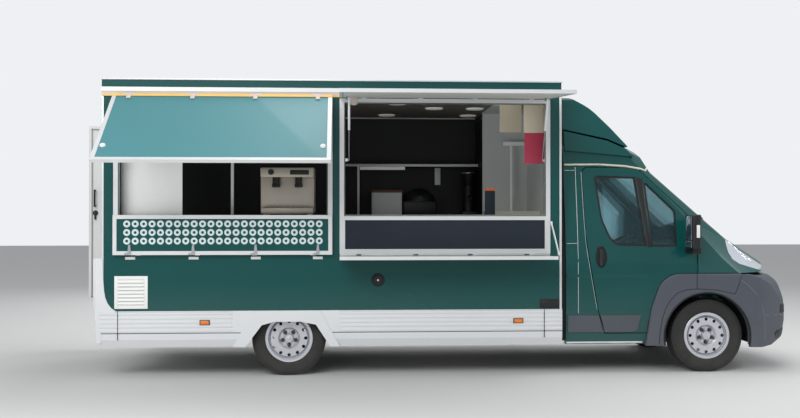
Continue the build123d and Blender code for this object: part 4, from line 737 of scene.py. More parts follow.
fitted("hatch_seals", seals, "root", black_rubber)
fitted("hatch_frame_lips", leaves, "root", anodised)

# Lower flaps: fold-down shelves in green panel with a mitred pale border. The rear one is shut
# and carries three rows of pale rings, and each has four tapered strap hinges of bare metal.
hinge_metal = finish("hinge_metal", tone(176, 178, 180), 0.36, metallic=0.7, size=12.0)
RINGS = ((24, 3), (-3.508, -1.729), (1.437, 1.278))    # counts, first and last x, top and bottom z
RING_SECTION = (
    (0.0, 0.013), (0.0026, 0.014), (0.0032, 0.018), (0.0032, 0.028), (0.0022, 0.0315), (0.0, 0.0325),
)
ring_pale = finish("ring_pale", tone(204, 219, 220), 0.45)
LOWER_EDGING = (  # reach past the sides, rise of foot and head, width, two y
    (0.001, -0.001, -0.001, 0.050, FLAP_FACE - 0.004, FLAP_FACE + 0.003),
    (0.002, -0.002, -0.0005, 0.006, FLAP_FACE + 0.001, FLAP_BACK),
)
for name, rear_x, front_x, opened, lowered in HATCHES:
    body = f"lower_flap_{name}"
    paint(coach_green, body)
    edging = edging_of((rear_x, front_x), HATCH_FOOT, SILL_Z, LOWER_EDGING)
    swung(edging, LOWER_HINGE_Z, -lowered)
    fitted(f"{body}_border", edging, body, anodised)
    straps = bmesh.new()
    strap_y = (FLAP_FACE - 0.010, FLAP_FACE - 0.003)
    for x in hinge_places(rear_x, front_x):
        arm = slab(
            straps, (x - 0.018, strap_y[0], HATCH_FOOT + 0.004),
            (x + 0.018, strap_y[1], HATCH_FOOT + 0.095),
        )
        tip = [vert for vert in arm if vert.co.z > HATCH_FOOT + 0.09]
        bmesh.ops.scale(straps, vec=(0.45, 1, 1), verts=tip, space=Matrix.Translation((-x, 0, 0)))
        for rise, radius in ((0.075, 0.007), (0.030, 0.009)):
            knob(straps, x, HATCH_FOOT + rise, FLAP_FACE - 0.004, FLAP_FACE - 0.014, radius, 12)
        slab(
            straps, (x - 0.046, FLAP_FACE - 0.008, HATCH_FOOT),
            (x - 0.001, FLAP_BACK + 0.001, HATCH_FOOT + 0.022), 0.002,
        )
    swung(straps, LOWER_HINGE_Z, -lowered)
    fitted(f"{body}_straps", straps, body, hinge_metal)

rings = bmesh.new()
(columns, rows), (first_x, last_x), (top_z, bottom_z) = RINGS
column_pitch = (last_x - first_x) / (columns - 1)
row_pitch = (bottom_z - top_z) / (rows - 1)
for column in range(columns):
    for row in range(rows):
        ring = about_axle(RING_SECTION, 20)
        bmesh.ops.scale(ring, vec=(1, -1, 1), verts=ring.verts)
        moved(ring, (first_x + column_pitch * column, FLAP_FACE, top_z + row_pitch * row))
        ring_data = bpy.data.meshes.new("ring")
        ring.to_mesh(ring_data)
        ring.free()
        rings.from_mesh(ring_data)
        bpy.data.meshes.remove(ring_data)
fitted("flap_rings", rings, "lower_flap_rear", ring_pale)

# Upper flaps: outside, the body's green painted a lighter teal as a painted reflection of the sky,
# and pale inside, with a mitred border and a round pale lock near each lower corner.
# The lighter teal is a painted reflection of the sky on the open flaps' outer faces.
flap_teal_sky_reflection = finish("flap_teal_sky_reflection", tone(66, 128, 134), 0.46, coat=0.2, unevenness=0.05, size=1.2)
flap_lining = finish("flap_lining", tone(222, 220, 214), 0.5, unevenness=0.04)
LOCK_DROP = 0.884                         # down from the hinge
LOCK_INSET = 0.070
UPPER_EDGING = (  # reach past the sides, rise of foot and head, width, two y
    (0.001, 0.001, 0.001, 0.052, FLAP_FACE - 0.004, FLAP_FACE + 0.003),
    (0.002, 0.0005, 0.001, 0.006, FLAP_FACE + 0.001, FLAP_BACK),
    (-0.001, 0.005, -0.012, 0.030, FLAP_BACK - 0.002, FLAP_BACK + 0.002),
)
for name, rear_x, front_x, opened, lowered in HATCHES:
    body = f"upper_flap_{name}"
    paint(flap_teal_sky_reflection, body)
    edging = edging_of((rear_x, front_x), SILL_Z, HATCH_HEAD, UPPER_EDGING)
    swung(edging, UPPER_HINGE_Z, opened)
    fitted(f"{body}_border", edging, body, anodised)
    lining = bmesh.new()
    slab(
        lining, (rear_x + 0.031, FLAP_BACK - 0.001, SILL_Z + 0.035),
        (front_x - 0.031, FLAP_BACK + 0.0012, HATCH_HEAD - 0.042),
    )
    swung(lining, UPPER_HINGE_Z, opened)
    fitted(f"{body}_lining", lining, body, flap_lining)
    locks = bmesh.new()
    z = UPPER_HINGE_Z - LOCK_DROP
    for x in (rear_x + LOCK_INSET, front_x - LOCK_INSET):
        knob(locks, x, z, FLAP_FACE, FLAP_FACE - 0.012, 0.026, 28, 0.022)
        block(locks, (x, FLAP_FACE - 0.0135, z), (0.008, 0.007, 0.028), 0.002)
    swung(locks, UPPER_HINGE_Z, opened)
    fitted(f"{body}_locks", locks, body, pale_plastic)

# The rear hatch's yellow rain strip lies over its flap's top edge, with four cream hinge straps.
# A small round pulley bracket is at the front hatch's upper edge.
name, rear_x, front_x, opened, lowered = HATCHES[0]
rain_flap = bmesh.new()
slab(
    rain_flap, (rear_x + 0.002, FLAP_FACE - 0.009, HATCH_HEAD - 0.046),
    (front_x - 0.002, FLAP_FACE - 0.003, HATCH_HEAD), 0.002,
)
swung(rain_flap, UPPER_HINGE_Z, opened)
fitted("rain_strip_on_flap", rain_flap, "upper_flap_rear", strip_yellow)
cream_straps = bmesh.new()
outer_y = FLAP_FACE - 0.013
for x in hinge_places(rear_x, front_x):
    slab(
        cream_straps, (x - 0.060, outer_y, HATCH_HEAD - 0.030),
        (x + 0.060, FLAP_FACE - 0.008, HATCH_HEAD - 0.004), 0.002,
    )
    slab(
        cream_straps, (x - 0.020, outer_y, HATCH_HEAD - 0.090),
        (x + 0.020, FLAP_FACE - 0.003, HATCH_HEAD - 0.028), 0.002,
    )
swung(cream_straps, UPPER_HINGE_Z, opened)
fitted("upper_hinge_straps", cream_straps, "upper_flap_rear", strip_backing)
pulley = bmesh.new()
knob(pulley, -1.405, 2.600, FRAME_Y - 0.003, FRAME_Y + 0.004, 0.046, 36)
knob(pulley, -1.405, 2.600, FRAME_Y - 0.0038, FRAME_Y - 0.002, 0.030, 32)
fitted("hatch_pulley", pulley, "root", strip_backing)

# Gas struts: white-painted tubes on bright rods.
strut_white = finish("strut_white", tone(226, 227, 228), 0.32, coat=0.4)
bright_rod = finish("bright_rod", tone(150, 152, 156), 0.16, metallic=1.0, unevenness=0.02)
paint(strut_white, "gas_tubes_rear", "gas_tubes_front")
paint(bright_rod, "gas_rods_rear", "gas_rods_front")

# Chalkboards: plain slate-painted panels, left blank, as uneven in colour as wiped chalk.
slate = finish("slate_board", tone(20, 30, 43), 0.72, unevenness=0.22, size=2.2)
paint(slate, "chalkboards")

# Serving shelf's stay: a pale fixed bar beside the shelf's front end, from the wall down to the
# place where the open shelf rests.
STAY_X = (0.466, 0.484)
stay = bmesh.new()
stay_middle = (STAY_X[0] + STAY_X[1]) / 2
bar(stay, (stay_middle, -1.105, 1.440), (stay_middle, -1.430, 1.162), 0.008, 12)
slab(stay, (STAY_X[0], -1.450, 1.148), (STAY_X[1], -1.410, 1.176), 0.003)
slab(stay, (STAY_X[0], -1.112, 1.420), (STAY_X[1], wall_face + 0.001, 1.460), 0.003)
fitted("shelf_stay", stay, "root", anodised)

# Rear door: a pale insulated panel, swung back, with a rubber seal on its inner face, and with
# a grab handle and a paddle lock on both faces.
panel_white = finish("panel_white", tone(224, 225, 222), 0.4, unevenness=0.04, dust=0.3, dust_top=1.2)
paint(panel_white, "rear_door")
door_low, door_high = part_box("rear_door")
door_seal = bmesh.new()
seal_y = (door_low.y - 0.006, door_low.y + 0.001)
seal_rear = door_low.x + 0.03
seal_front = door_high.x - 0.045
seal_foot = door_low.z + 0.03
for x in (seal_rear, seal_front - 0.015):
    slab(door_seal, (x, seal_y[0], seal_foot), (x + 0.015, seal_y[1], door_high.z - 0.03), 0.002)
for z in (seal_foot, door_high.z - 0.045):
    slab(door_seal, (seal_rear, seal_y[0], z), (seal_front, seal_y[1], z + 0.015), 0.002)
pale_rubber = finish("pale_rubber", tone(158, 160, 160), 0.7)
fitted("rear_door_seal", door_seal, "rear_door", pale_rubber)
door_fittings = bmesh.new()
GRAB = (1.623, 1.794)
grab_x = door_low.x + 0.075
for face_y, way in ((door_low.y, -1), (door_high.y, 1)):
    grip_y = face_y + way * 0.045
    for grab_z in GRAB:
        knob(door_fittings, grab_x, grab_z, face_y, grip_y, 0.009, 12)
    bar(door_fittings, (grab_x, grip_y, GRAB[0] - 0.012), (grab_x, grip_y, GRAB[1] + 0.012), 0.010, 14)
    knob(door_fittings, grab_x, 1.543, face_y, face_y + way * 0.014, 0.030, 28, 0.026)
    slab(door_fittings, (grab_x - 0.010, face_y, 1.470), (grab_x + 0.010, face_y + way * 0.024, 1.560), 0.004)
fitted("rear_door_handles", door_fittings, "rear_door", black_plastic)

# Rear wall: a pale trim round the doorway and a tread step under it.
doorway = bmesh.new()
DOORWAY = ((0.354, 0.948), (0.640, 2.505))
TRIM = 0.020
(way_right, way_left), (way_foot, way_head) = DOORWAY
back = BODY_REAR
trim_head = way_head + TRIM
slab(doorway, (back - 0.004, way_right - TRIM, way_foot), (back + 0.002, way_right, trim_head), 0.001)
slab(doorway, (back - 0.004, way_right, way_head), (back + 0.002, way_left, trim_head), 0.001)
fitted("doorway_trim", doorway, "root", anodised)
step = bmesh.new()
slab(step, (back - 0.018, way_right + 0.03, 0.330), (back + 0.16, way_left - 0.03, 0.355), 0.003)
for support_y in (way_right + 0.08, way_left - 0.08):
    slab(step, (back + 0.03, support_y - 0.015, 0.345), (back + 0.06, support_y + 0.015, 0.480), 0.003)
fitted("rear_step", step, "root", dull_steel)

# Cab: steel panels in the body's green gloss paint. Detail on its curved sides is laid on the
# solids by casting rays at them, so it sits on the real surface.
paint(coach_green, "cab_shell", "cab_door_left", "cab_door_right", "deflector")
# The wings and bonnet carry a duller, slightly lighter copy of the same green paint: a shaded copy whose tone
# and gloss damp the pale reflection along their upper faces.
nose_green_damped_reflection = finish("nose_green_damped_reflection", tone(10, 76, 74), 0.42, coat=0.12, **GLOSS_PAINT)
paint(nose_green_damped_reflection, "front_wings", "bonnet")
cab_skin = bmesh.new()
for name in (
    "cab_shell", "cab_door_left", "cab_door_right", "front_wings", "bonnet", "headlamps", "front_bumper",
    "windscreen", "arch_mouldings", "door_glass_left", "door_glass_right",
):
    cab_skin.from_mesh(solids[name].data)
cab_surface = BVHTree.FromBMesh(cab_skin)
cab_skin.free()
PATCH_CELLS = 8                           # a patch is cut into this many cells each way
SIDES = ((-1, "right"), (1, "left"))


def laid_on(start, way, spread):
    """Where a ray meets the cab, tried again close by when it slips between two triangles."""
    for step in range(9):
        shift = Vector(spread) * (step * 0.004 * (-1) ** step)
        point = cab_surface.ray_cast(Vector(start) + shift, Vector(way))[0]
        if point is not None:
            return point - shift
    return None


def at_side(x, z, side=-1, proud=0.0):
    """The point of the cab's side at x and z, seen from outside, moved outward a little."""
    point = laid_on((x, side * 3, z), (0, -side, 0), (0, 0, 1))
    return None if point is None else point + Vector((0, side * proud, 0))


def at_front(y, z, proud=0.0):
    """The point of the cab's front at y and z, seen from in front, moved forward a little."""
    point = laid_on((6, y, z), (-1, 0, 0), (0, 0, 1))
    return None if point is None else point + Vector((proud, 0, 0))


def beading(mesh, points, radius, flatness=1.0):
    """A round bead along a run of points, added to a mesh."""
    points = [point for point in points if point is not None]
    run = bpy.data.curves.new("run", "CURVE")
    run.dimensions = "3D"
    run.bevel_depth = radius
    run.bevel_resolution = 1
    run.use_fill_caps = True
    line = run.splines.new("POLY")
    line.points.add(len(points) - 1)
    for knot, point in zip(line.points, points):
        knot.co = (*point, 1)
    holder = bpy.data.objects.new("run", run)
    bead = bpy.data.meshes.new_from_object(holder)
    mesh.from_mesh(bead)
    bpy.data.objects.remove(holder)
    bpy.data.curves.remove(run)
    bpy.data.meshes.remove(bead)


def along(points, step=0.03):
    """Points at an even step along straight runs between the given ones."""
    spots = []
    for start, end in zip(points, points[1:]):
        count = max(1, round(hypot(*(b - a for a, b in zip(start, end))) / step))
        for number in range(count):
            spots.append(tuple(a + (b - a) * number / count for a, b in zip(start, end)))
    return spots + [points[-1]]


def patch(mesh, outline, side, proud, thickness=0.004):
    """A thin plate bent to lie on the cab: (x, z) outline on the side -1 or 1, (y, z) on the front, 0."""
    across = Vector((1, 0, 0)) if side else Vector((0, 1, 0))
    upward = Vector((0, 0, 1))
    face = mesh.faces.new([mesh.verts.new(across * place + upward * z) for place, z in outline])
    part = [face, *face.verts, *face.edges]
    for axis, places in ((upward, [z for place, z in outline]), (across, [place for place, z in outline])):
        for number in range(1, PATCH_CELLS):
            place = min(places) + (max(places) - min(places)) * number / PATCH_CELLS
            cut = bmesh.ops.bisect_plane(mesh, geom=part, plane_co=axis * place, plane_no=axis)
            part = cut["geom"]
    faces = [item for item in part if isinstance(item, bmesh.types.BMFace)]
    raised = bmesh.ops.extrude_face_region(mesh, geom=faces)["geom"]
    top = [item for item in raised if isinstance(item, bmesh.types.BMVert)]
    bottom = list({vert for item in faces for vert in item.verts})
    for verts, height in ((top, proud), (bottom, proud - thickness)):
        for vert in verts:
            if side:
                vert.co.y = at_side(vert.co.x, vert.co.z, side).y + side * height
            else:
                vert.co.x = at_front(vert.co.y, vert.co.z).x + height


def band_on_glass(name, node, body, width, facing):
    """The black printed band round a pane: its outer face, inset, with the middle taken away."""
    band = bmesh.new()
    band.from_mesh(solids[node].data)
    bmesh.ops.remove_doubles(band, verts=band.verts, dist=1e-5)
    band.normal_update()
    away = [face for face in band.faces if face.normal.dot(Vector(facing)) < 0.25]
    bmesh.ops.delete(band, geom=away, context="FACES")
    middle = list(band.faces)
    bmesh.ops.inset_region(band, faces=middle, thickness=width, use_even_offset=True, use_boundary=True)
    bmesh.ops.delete(band, geom=middle, context="FACES")
    for vert in band.verts:
        vert.co += Vector(facing) * 0.0012
    return fitted(name, band, body, black_plastic, smooth=60)


# Glazing: green-tinted glass with a black printed band round each pane.
tinted_glass = plain_material("tinted_glass", {
    "Base Color": (*tone(84, 148, 160), 1), "Roughness": 0.02, "Transmission Weight": 0.92, "IOR": 1.12,
    "Alpha": 0.55, "Coat Weight": 1.0, "Coat Roughness": 0.01,
})
paint(tinted_glass, "windscreen", "door_glass_left", "door_glass_right")
band_on_glass("windscreen_band", "windscreen", "root", 0.045, (0.65, 0, 0.76))
band_on_glass("door_glass_band_right", "door_glass_right", "cab_door_right", 0.020, (0, -1, 0))
band_on_glass("door_glass_band_left", "door_glass_left", "cab_door_left", 0.020, (0, 1, 0))

# Door pillars, handles and lower mouldings: black plastic over the pillar between the panes,
# an oval handle pocket with an upright grip, and a dark grey rubbing panel low on the door.
dark_grey_plastic = finish(
    "dark_grey_plastic", tone(72, 77, 86), 0.60, unevenness=0.08, size=5.0, dust=0.2, dust_top=0.7,
)
handle_black = finish("handle_black", tone(34, 36, 40), 0.34)
PILLAR = ((1.330, 1.896), (1.418, 1.870), (1.478, 1.207), (1.424, 1.213))
HANDLE = ((0.977, 1.111), 0.057, 0.100)   # centre, half width, half height
LOWER_PANEL = ((0.965, 0.556), (1.359, 0.556), (1.331, 0.418), (1.300, 0.398), (1.262, 0.393), (1.014, 0.393))
REAR_PANEL = ((0.652, 0.556), (0.947, 0.556), (0.996, 0.393), (0.652, 0.393))
for side, hand in SIDES:
    door = f"cab_door_{hand}"
    pillar = bmesh.new()
    patch(pillar, PILLAR, side, 0.003)
    fitted(f"door_pillar_{hand}", pillar, door, black_plastic, smooth=60)
    panel = bmesh.new()
    patch(panel, LOWER_PANEL, side, 0.010, 0.012)
    fitted(f"door_rubbing_panel_{hand}", panel, door, dark_grey_plastic, smooth=60)
    panel = bmesh.new()
    patch(panel, REAR_PANEL, side, 0.010, 0.012)
    fitted(f"sill_rubbing_panel_{hand}", panel, "root", dark_grey_plastic, smooth=60)

    (handle_x, handle_z), half_width, half_height = HANDLE
    floor_y = at_side(handle_x, handle_z, side).y
    skin_y = at_side(handle_x, handle_z + half_height + 0.02, side).y
    pocket = bmesh.new()
    outline = (      # share of the pocket's half size, y
        (0.0, floor_y + side * 0.001), (0.97, floor_y + side * 0.001), (0.99, skin_y + side * 0.002),
        (1.14, skin_y + side * 0.002), (1.10, skin_y + side * 0.006), (0.93, skin_y + side * 0.005),
        (0.90, floor_y + side * 0.004), (0.0, floor_y + side * 0.004),
    )
    section = [pocket.verts.new((share, depth, 0)) for share, depth in outline]
    rim = [pocket.edges.new(pair) for pair in zip(section, section[1:])]
    bmesh.ops.spin(
        pocket, geom=section + rim, cent=(0, 0, 0), axis=(0, 1, 0), angle=tau, steps=40, use_merge=True
    )
    bmesh.ops.remove_doubles(pocket, verts=pocket.verts, dist=1e-5)
    bmesh.ops.scale(pocket, vec=(half_width, 1, half_height), verts=pocket.verts)
    moved(pocket, (handle_x, 0, handle_z))
    fitted(f"handle_pocket_{hand}", pocket, door, black_plastic)
    grip = bmesh.new()
    slab(
        grip, (handle_x - 0.016, floor_y + side * 0.008, handle_z - 0.080),
        (handle_x + 0.016, skin_y + side * 0.012, handle_z + 0.080), 0.008,
    )
    fitted(f"handle_grip_{hand}", grip, door, handle_black)

# Roof gutter and seams: a cream sealing strip along the foot of the roof with a hooked front
# end, a pale upright seam behind the door, a pale bead along the door's rear shut line that is a painted
# highlight of the door's edge, and a bare metal sill strip.
cream_sealant = finish("cream_sealant", tone(214, 206, 186), 0.5)
GUTTER = ((0.645, 2.010), (0.983, 2.014), (1.251, 1.998), (1.408, 1.970), (1.454, 1.952), (1.476, 1.978))
SEAM = ((0.752, 1.985), (0.752, 0.575))
SEAM_TICKS = (((0.645, 1.955), (0.745, 1.955)), ((0.645, 1.246), (0.745, 1.246)))
SILL = ((0.640, 0.292), (1.380, 0.292))
# The pale bead along the door's rear shut line is a painted highlight of the door's edge.
DOOR_EDGE_HIGHLIGHT = (
    (0.808, 1.940), (0.813, 1.700), (0.820, 1.450), (0.829, 1.270), (0.848, 1.110), (0.894, 0.840),
    (0.934, 0.610),
)
SWAGE_HEIGHT = 0.935
SWAGE_SUNK = -0.031
SWAGE_RADIUS = 0.040
SWAGES = (("root", 0.645, 0.868), ("door", 0.893, 1.440))      # the shallow swell along the cab's side
BEADS = (        # line along the side, step between its points, how far outward, radius
    (SEAM, 0.08, -0.001, 0.0026), (DOOR_EDGE_HIGHLIGHT, 0.05, -0.0005, 0.0018), (SEAM_TICKS[0], 0.03, -0.001, 0.0022),
    (SEAM_TICKS[1], 0.03, -0.001, 0.0022), (SILL, 0.03, -0.002, 0.010),
)


def side_bead(mesh, line, side, step, proud, radius):
    """A bead laid on the cab's side along a line of (x, z) points."""
    beading(mesh, [at_side(x, z, side, proud) for x, z in along(line, step)], radius)


for side, hand in SIDES:
    gutter = bmesh.new()
    side_bead(gutter, GUTTER, side, 0.03, -0.002, 0.010)
    fitted(f"roof_gutter_{hand}", gutter, "root", cream_sealant, smooth=60)
    seams_and_door_highlight = bmesh.new()
    for line, step, proud, radius in BEADS:
        side_bead(seams_and_door_highlight, line, side, step, proud, radius)
    fitted(f"cab_seams_and_door_highlight_{hand}", seams_and_door_highlight, "root", anodised, smooth=60)
    for carrier, rear_x, front_x in SWAGES:
        swage = bmesh.new()
        line = ((rear_x, SWAGE_HEIGHT), (front_x, SWAGE_HEIGHT))
        side_bead(swage, line, side, 0.08, SWAGE_SUNK, SWAGE_RADIUS)
        body = f"cab_door_{hand}" if carrier == "door" else "root"
        fitted(f"cab_swage_{carrier}_{hand}", swage, body, coach_green, smooth=60)

# The joint between the cab's back and the kitchen body is closed by a black rubber seal, whose black
# also paints the shade that lies in that gap.
gap_seal_and_shade = bmesh.new()
cab_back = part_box("cab_shell")[0].x
box_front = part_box("box_wall_front")[1].x
seal_heights = (0.310, 0.600, 1.050, 1.400, 1.800, 2.100, 2.160)
half_widths = [abs(at_side(cab_back + 0.012, z, 1).y) - 0.022 for z in seal_heights]
seal_outline = [(-y, z) for y, z in zip(half_widths, seal_heights)]
seal_outline += [(y, z) for y, z in reversed(list(zip(half_widths, seal_heights)))]
plate_of(gap_seal_and_shade, seal_outline, box_front + 0.001, cab_back - 0.001, along_x=True)
fitted("cab_gap_seal_and_shade", gap_seal_and_shade, "root", black_rubber)

# Front end: dark grey bumper and wheel-arch mouldings, black grille slats, and clear headlamps
# with the bright rims of their round reflectors.
paint(dark_grey_plastic, "front_bumper", "arch_mouldings")
# A paler grey for the bumper's crease beads: a painted highlight along the crease's edge.
crease_highlight_grey = finish("crease_highlight_grey", tone(104, 110, 121), 0.55)
paint(black_plastic, "grille")
headlamp_clear = finish(
    "headlamp_clear", tone(206, 212, 220), 0.12, metallic=0.35, coat=1.0, unevenness=0.10, size=7.0
)
bright_reflector = finish("bright_reflector", tone(238, 240, 243), 0.08, metallic=0.9)
paint(headlamp_clear, "headlamps")
LAMP_RINGS = ((0.800, 1.125, 0.070), (0.735, 1.200, 0.055))      # y, z, radius
for side, hand in SIDES:
    reflectors = bmesh.new()
    for ring_y, ring_z, ring_radius in LAMP_RINGS:
        for radius, steps, thickness in ((ring_radius, 28, 0.0035), (ring_radius * 0.45, 20, 0.0025)):
            turns = [tau * step / steps for step in range(steps + 1)]
            circle = [(side * (ring_y + radius * cos(turn)), ring_z + radius * sin(turn)) for turn in turns]
            beading(reflectors, [at_front(y, z, 0.001) for y, z in circle], thickness)
    fitted(f"headlamp_rings_{hand}", reflectors, "root", bright_reflector, smooth=60)

# The front arches have a rolled lip in black, which is painted shade at the moulding's rolled edge, the
# grooves where their mouldings meet the bumper and the rear piece, the crease that turns into the bumper's
# nose, in a paler grey as a painted highlight, and a black liner over the wheel.
# The bumper has two black recesses at each corner, and the windscreen has two wipers.
ARCH_CENTRE = (2.010, 0.345)
ARCH_FACE = 1.0455
LIP_RADIUS = 0.424
LIP_THICKNESS = 0.0085
LINER = (0.428, 0.434, 0.700, 1.012)     # inner and outer radius, nearest and farthest from the middle
MOULDING_GROOVES = (
    (
        (1.536, 0.280), (1.544, 0.400), (1.566, 0.520), (1.600, 0.620), (1.650, 0.705), (1.715, 0.767),
        (1.800, 0.797), (1.908, 0.807), (2.100, 0.795), (2.284, 0.757),
    ),
    ((1.908, 0.807), (1.908, 0.950)),
    ((2.284, 0.757), (2.322, 0.850), (2.348, 0.936)),
)
CREASE = (
    (2.336, 0.893), (2.400, 0.850), (2.466, 0.785), (2.516, 0.715), (2.550, 0.640), (2.571, 0.545),
    (2.576, 0.440), (2.576, 0.300),
)
BUMPER_LINE = 0.548


def arc_of(centre, radius, first, last, steps):
    """Points (x, z) of an arc between two turns, counted from +X upward."""
    turns = [first + (last - first) * step / steps for step in range(steps + 1)]
    return [(centre[0] + radius * cos(turn), centre[1] + radius * sin(turn)) for turn in turns]


for side, hand in SIDES:
    lip = bmesh.new()
    # The lip bead is black as painted shade at the moulding's rolled edge.
    lip_line = arc_of(ARCH_CENTRE, LIP_RADIUS, -0.19, pi + 0.19, 36)
    beading(lip, [Vector((x, side * (ARCH_FACE - 0.001), z)) for x, z in lip_line], LIP_THICKNESS)
    for groove in MOULDING_GROOVES:
        beading(lip, [Vector((x, side * ARCH_FACE, z)) for x, z in groove], 0.0032)
    near, far, inner, outer = LINER
    rings = []
    for ends in zip(*(arc_of(ARCH_CENTRE, radius, -0.15, pi + 0.15, 40) for radius in (near, far))):
        corners = ((ends[0], inner), (ends[0], outer), (ends[1], outer), (ends[1], inner))
        rings.append([lip.verts.new((x, side * y, z)) for (x, z), y in corners])
    for before, after in zip(rings, rings[1:]):
        for corner in range(4):
            lip.faces.new((before[corner], before[corner - 1], after[corner - 1], after[corner]))
    lip.faces.new(rings[0])
    lip.faces.new(reversed(rings[-1]))
    fitted(f"arch_lip_{hand}", lip, "root", black_plastic, smooth=60)
    # The crease and nose-line beads are paler grey as a painted highlight.
    crease = bmesh.new()
    beading(crease, [Vector((x, side * (ARCH_FACE - 0.0005), z)) for x, z in CREASE], 0.0036)
    nose_line = [at_front(side * (0.560 + 0.045 * step), BUMPER_LINE, -0.0015) for step in range(11)]
    beading(crease, [*nose_line, Vector((2.590, side * (ARCH_FACE - 0.001), BUMPER_LINE))], 0.0034)
    fitted(f"bumper_crease_{hand}", crease, "root", crease_highlight_grey, smooth=60)

bumper_fittings = bmesh.new()
BUMPER_RECESSES = (     # outlines of (y, z): a slot high on each corner, the fog lamp's recess below it
    ((0.800, 0.572), (0.800, 0.644), (0.974, 0.648), (0.980, 0.566)),
    ((0.800, 0.316), (0.800, 0.412), (0.930, 0.412), (1.004, 0.400), (1.018, 0.372), (1.006, 0.318)),
)
for side in (-1, 1):
    for outline in BUMPER_RECESSES:
        patch(bumper_fittings, [(side * y, z) for y, z in outline], 0, 0.005, 0.012)
fitted("bumper_fittings", bumper_fittings, "root", black_plastic)

wipers = bmesh.new()
WIPER_PARTS = (  # start and length across, height, rise, proud of the glass, radius, steps
    (0.0, 0.50, 1.437, 0.055, 0.018, 0.006, 4), (0.10, 0.62, 1.432, 0.060, 0.008, 0.007, 5),
)
for pivot_y in (0.52, -0.06):
    for start, length, height, rise, proud, radius, steps in WIPER_PARTS:
        shares = [step / steps for step in range(steps + 1)]
        run = [at_front(pivot_y - start - length * share, height + rise * share, proud) for share in shares]
        beading(wipers, run, radius)
fitted("wipers", wipers, "root", black_plastic)

# Door mirrors: black housings with two bright glasses set in their back, and a pale repeater
# at the outer corner.
paint(black_plastic, "mirror_right", "mirror_left")
mirror_glass = finish("mirror_glass", tone(205, 215, 222), 0.04, metallic=1.0, unevenness=0.01)
MIRROR_BACK = ((1.754, 1.120), (1.768, 1.322))    # the glass side in plan, from its inner to its outer edge
MIRROR_FRONT_X = 1.849
MIRROR_PANES = ((1.286, 1.508), (1.214, 1.276))     # heights of the main and the wide-angle glass
for side, hand in SIDES:
    (inner_x, inner_y), (outer_x, outer_y) = MIRROR_BACK
    slant = atan((inner_x - outer_x) / (outer_y - inner_y))
    glass = bmesh.new()
    width = hypot(inner_x - outer_x, outer_y - inner_y)
    for low_z, high_z in MIRROR_PANES:
        slab(glass, (-0.003, 0.024, low_z), (0.003, width - 0.026, high_z), 0.001)
    turned(glass, slant, "Z")
    moved(glass, (inner_x, inner_y, 0))
    bmesh.ops.scale(glass, vec=(1, side, 1), verts=glass.verts)
    fitted(f"mirror_glass_{hand}", glass, f"cab_door_{hand}", mirror_glass)
    repeater = bmesh.new()
    slab(
        repeater, (MIRROR_FRONT_X - 0.044, side * (outer_y - 0.006), 1.306),
        (MIRROR_FRONT_X - 0.012, side * (outer_y + 0.003), 1.425), 0.002,
    )
    fitted(f"mirror_repeater_{hand}", repeater, f"cab_door_{hand}", pale_plastic)

# Cab interior: a black moulded dashboard and steering wheel, with a hood over the instruments,
# a plain radio panel, air vents and three pedals.
cab_black = finish("cab_black", tone(36, 37, 40), 0.68, size=12.0)
paint(cab_black, "dashboard", "steering_wheel")
dash_detail = bmesh.new()
slab(dash_detail, (1.664, -0.130, 0.900), (1.700, 0.130, 1.110), 0.008)
for vent_y in (-0.860, -0.200, 0.200, 0.860):
    slab(dash_detail, (1.650, vent_y - 0.055, 1.120), (1.690, vent_y + 0.055, 1.165), 0.006)
slab(dash_detail, (1.630, 0.290, 1.195), (1.760, 0.570, 1.232), 0.012)
for pedal_y in (0.340, 0.440, 0.550):
    slab(dash_detail, (1.700, pedal_y - 0.032, 0.640), (1.712, pedal_y + 0.032, 0.720), 0.004)
    bar(dash_detail, (1.712, pedal_y, 0.700), (1.800, pedal_y, 0.800), 0.008, 10)
fitted("dashboard_fittings", dash_detail, "root", black_plastic)

# Seats: a driver's seat and a double passenger seat on a steel base, with foam cushions in dark
# woven cloth: a crowned seat, a back and a head pad for each place.
seat_frame_grey = finish("seat_frame_grey", tone(52, 53, 57), 0.6)
seat_cloth = finish("seat_cloth", tone(58, 61, 68), 0.92, unevenness=0.16, size=60.0)
paint(seat_frame_grey, "seats")
SEAT_PLACES = ((0.430, 0.520), (-0.095, 0.460), (-0.565, 0.460))


def cushion(size, crown):
    """A foam pad centred on the origin: a divided block whose faces swell towards their middle."""
    pad = bmesh.new()
    bmesh.ops.create_cube(pad, size=1.0)
    bmesh.ops.subdivide_edges(pad, edges=pad.edges, cuts=7, use_grid_fill=True)
    for vert in pad.verts:
        x, y, z = (2 * part for part in vert.co)
        fall = (1 - x ** 4) * (1 - y ** 4)
        side_fall = (1 - z ** 4) * 0.35
        vert.co.z = 0.5 * z * (size[2] + crown * fall) - 0.5 * z * size[2] * 0.22 * (x ** 8 + y ** 8) / 2
        vert.co.x = 0.5 * x * (size[0] - crown * (1 - side_fall) * 0.4)
        vert.co.y = 0.5 * y * (size[1] - crown * (1 - side_fall) * 0.4)
    return pad


for number, (seat_y, seat_width) in enumerate(SEAT_PLACES):
    for kind, size, crown, tilt, place in (
        ("seat_cushion", (0.540, seat_width - 0.030, 0.100), 0.030, radians(-3), (1.180, seat_y, 0.880)),
        ("seat_back", (0.600, seat_width - 0.040, 0.090), 0.026, radians(-97), (0.992, seat_y, 1.170)),
        ("head_pad", (0.200, 0.232, 0.070), 0.022, radians(-94), (0.868, seat_y, 1.570)),
    ):
        pad = cushion(size, crown)
        turned(pad, tilt, "Y")
        moved(pad, place)
        piece = fitted(f"{kind}_{number}", pad, "root", seat_cloth, smooth=50)

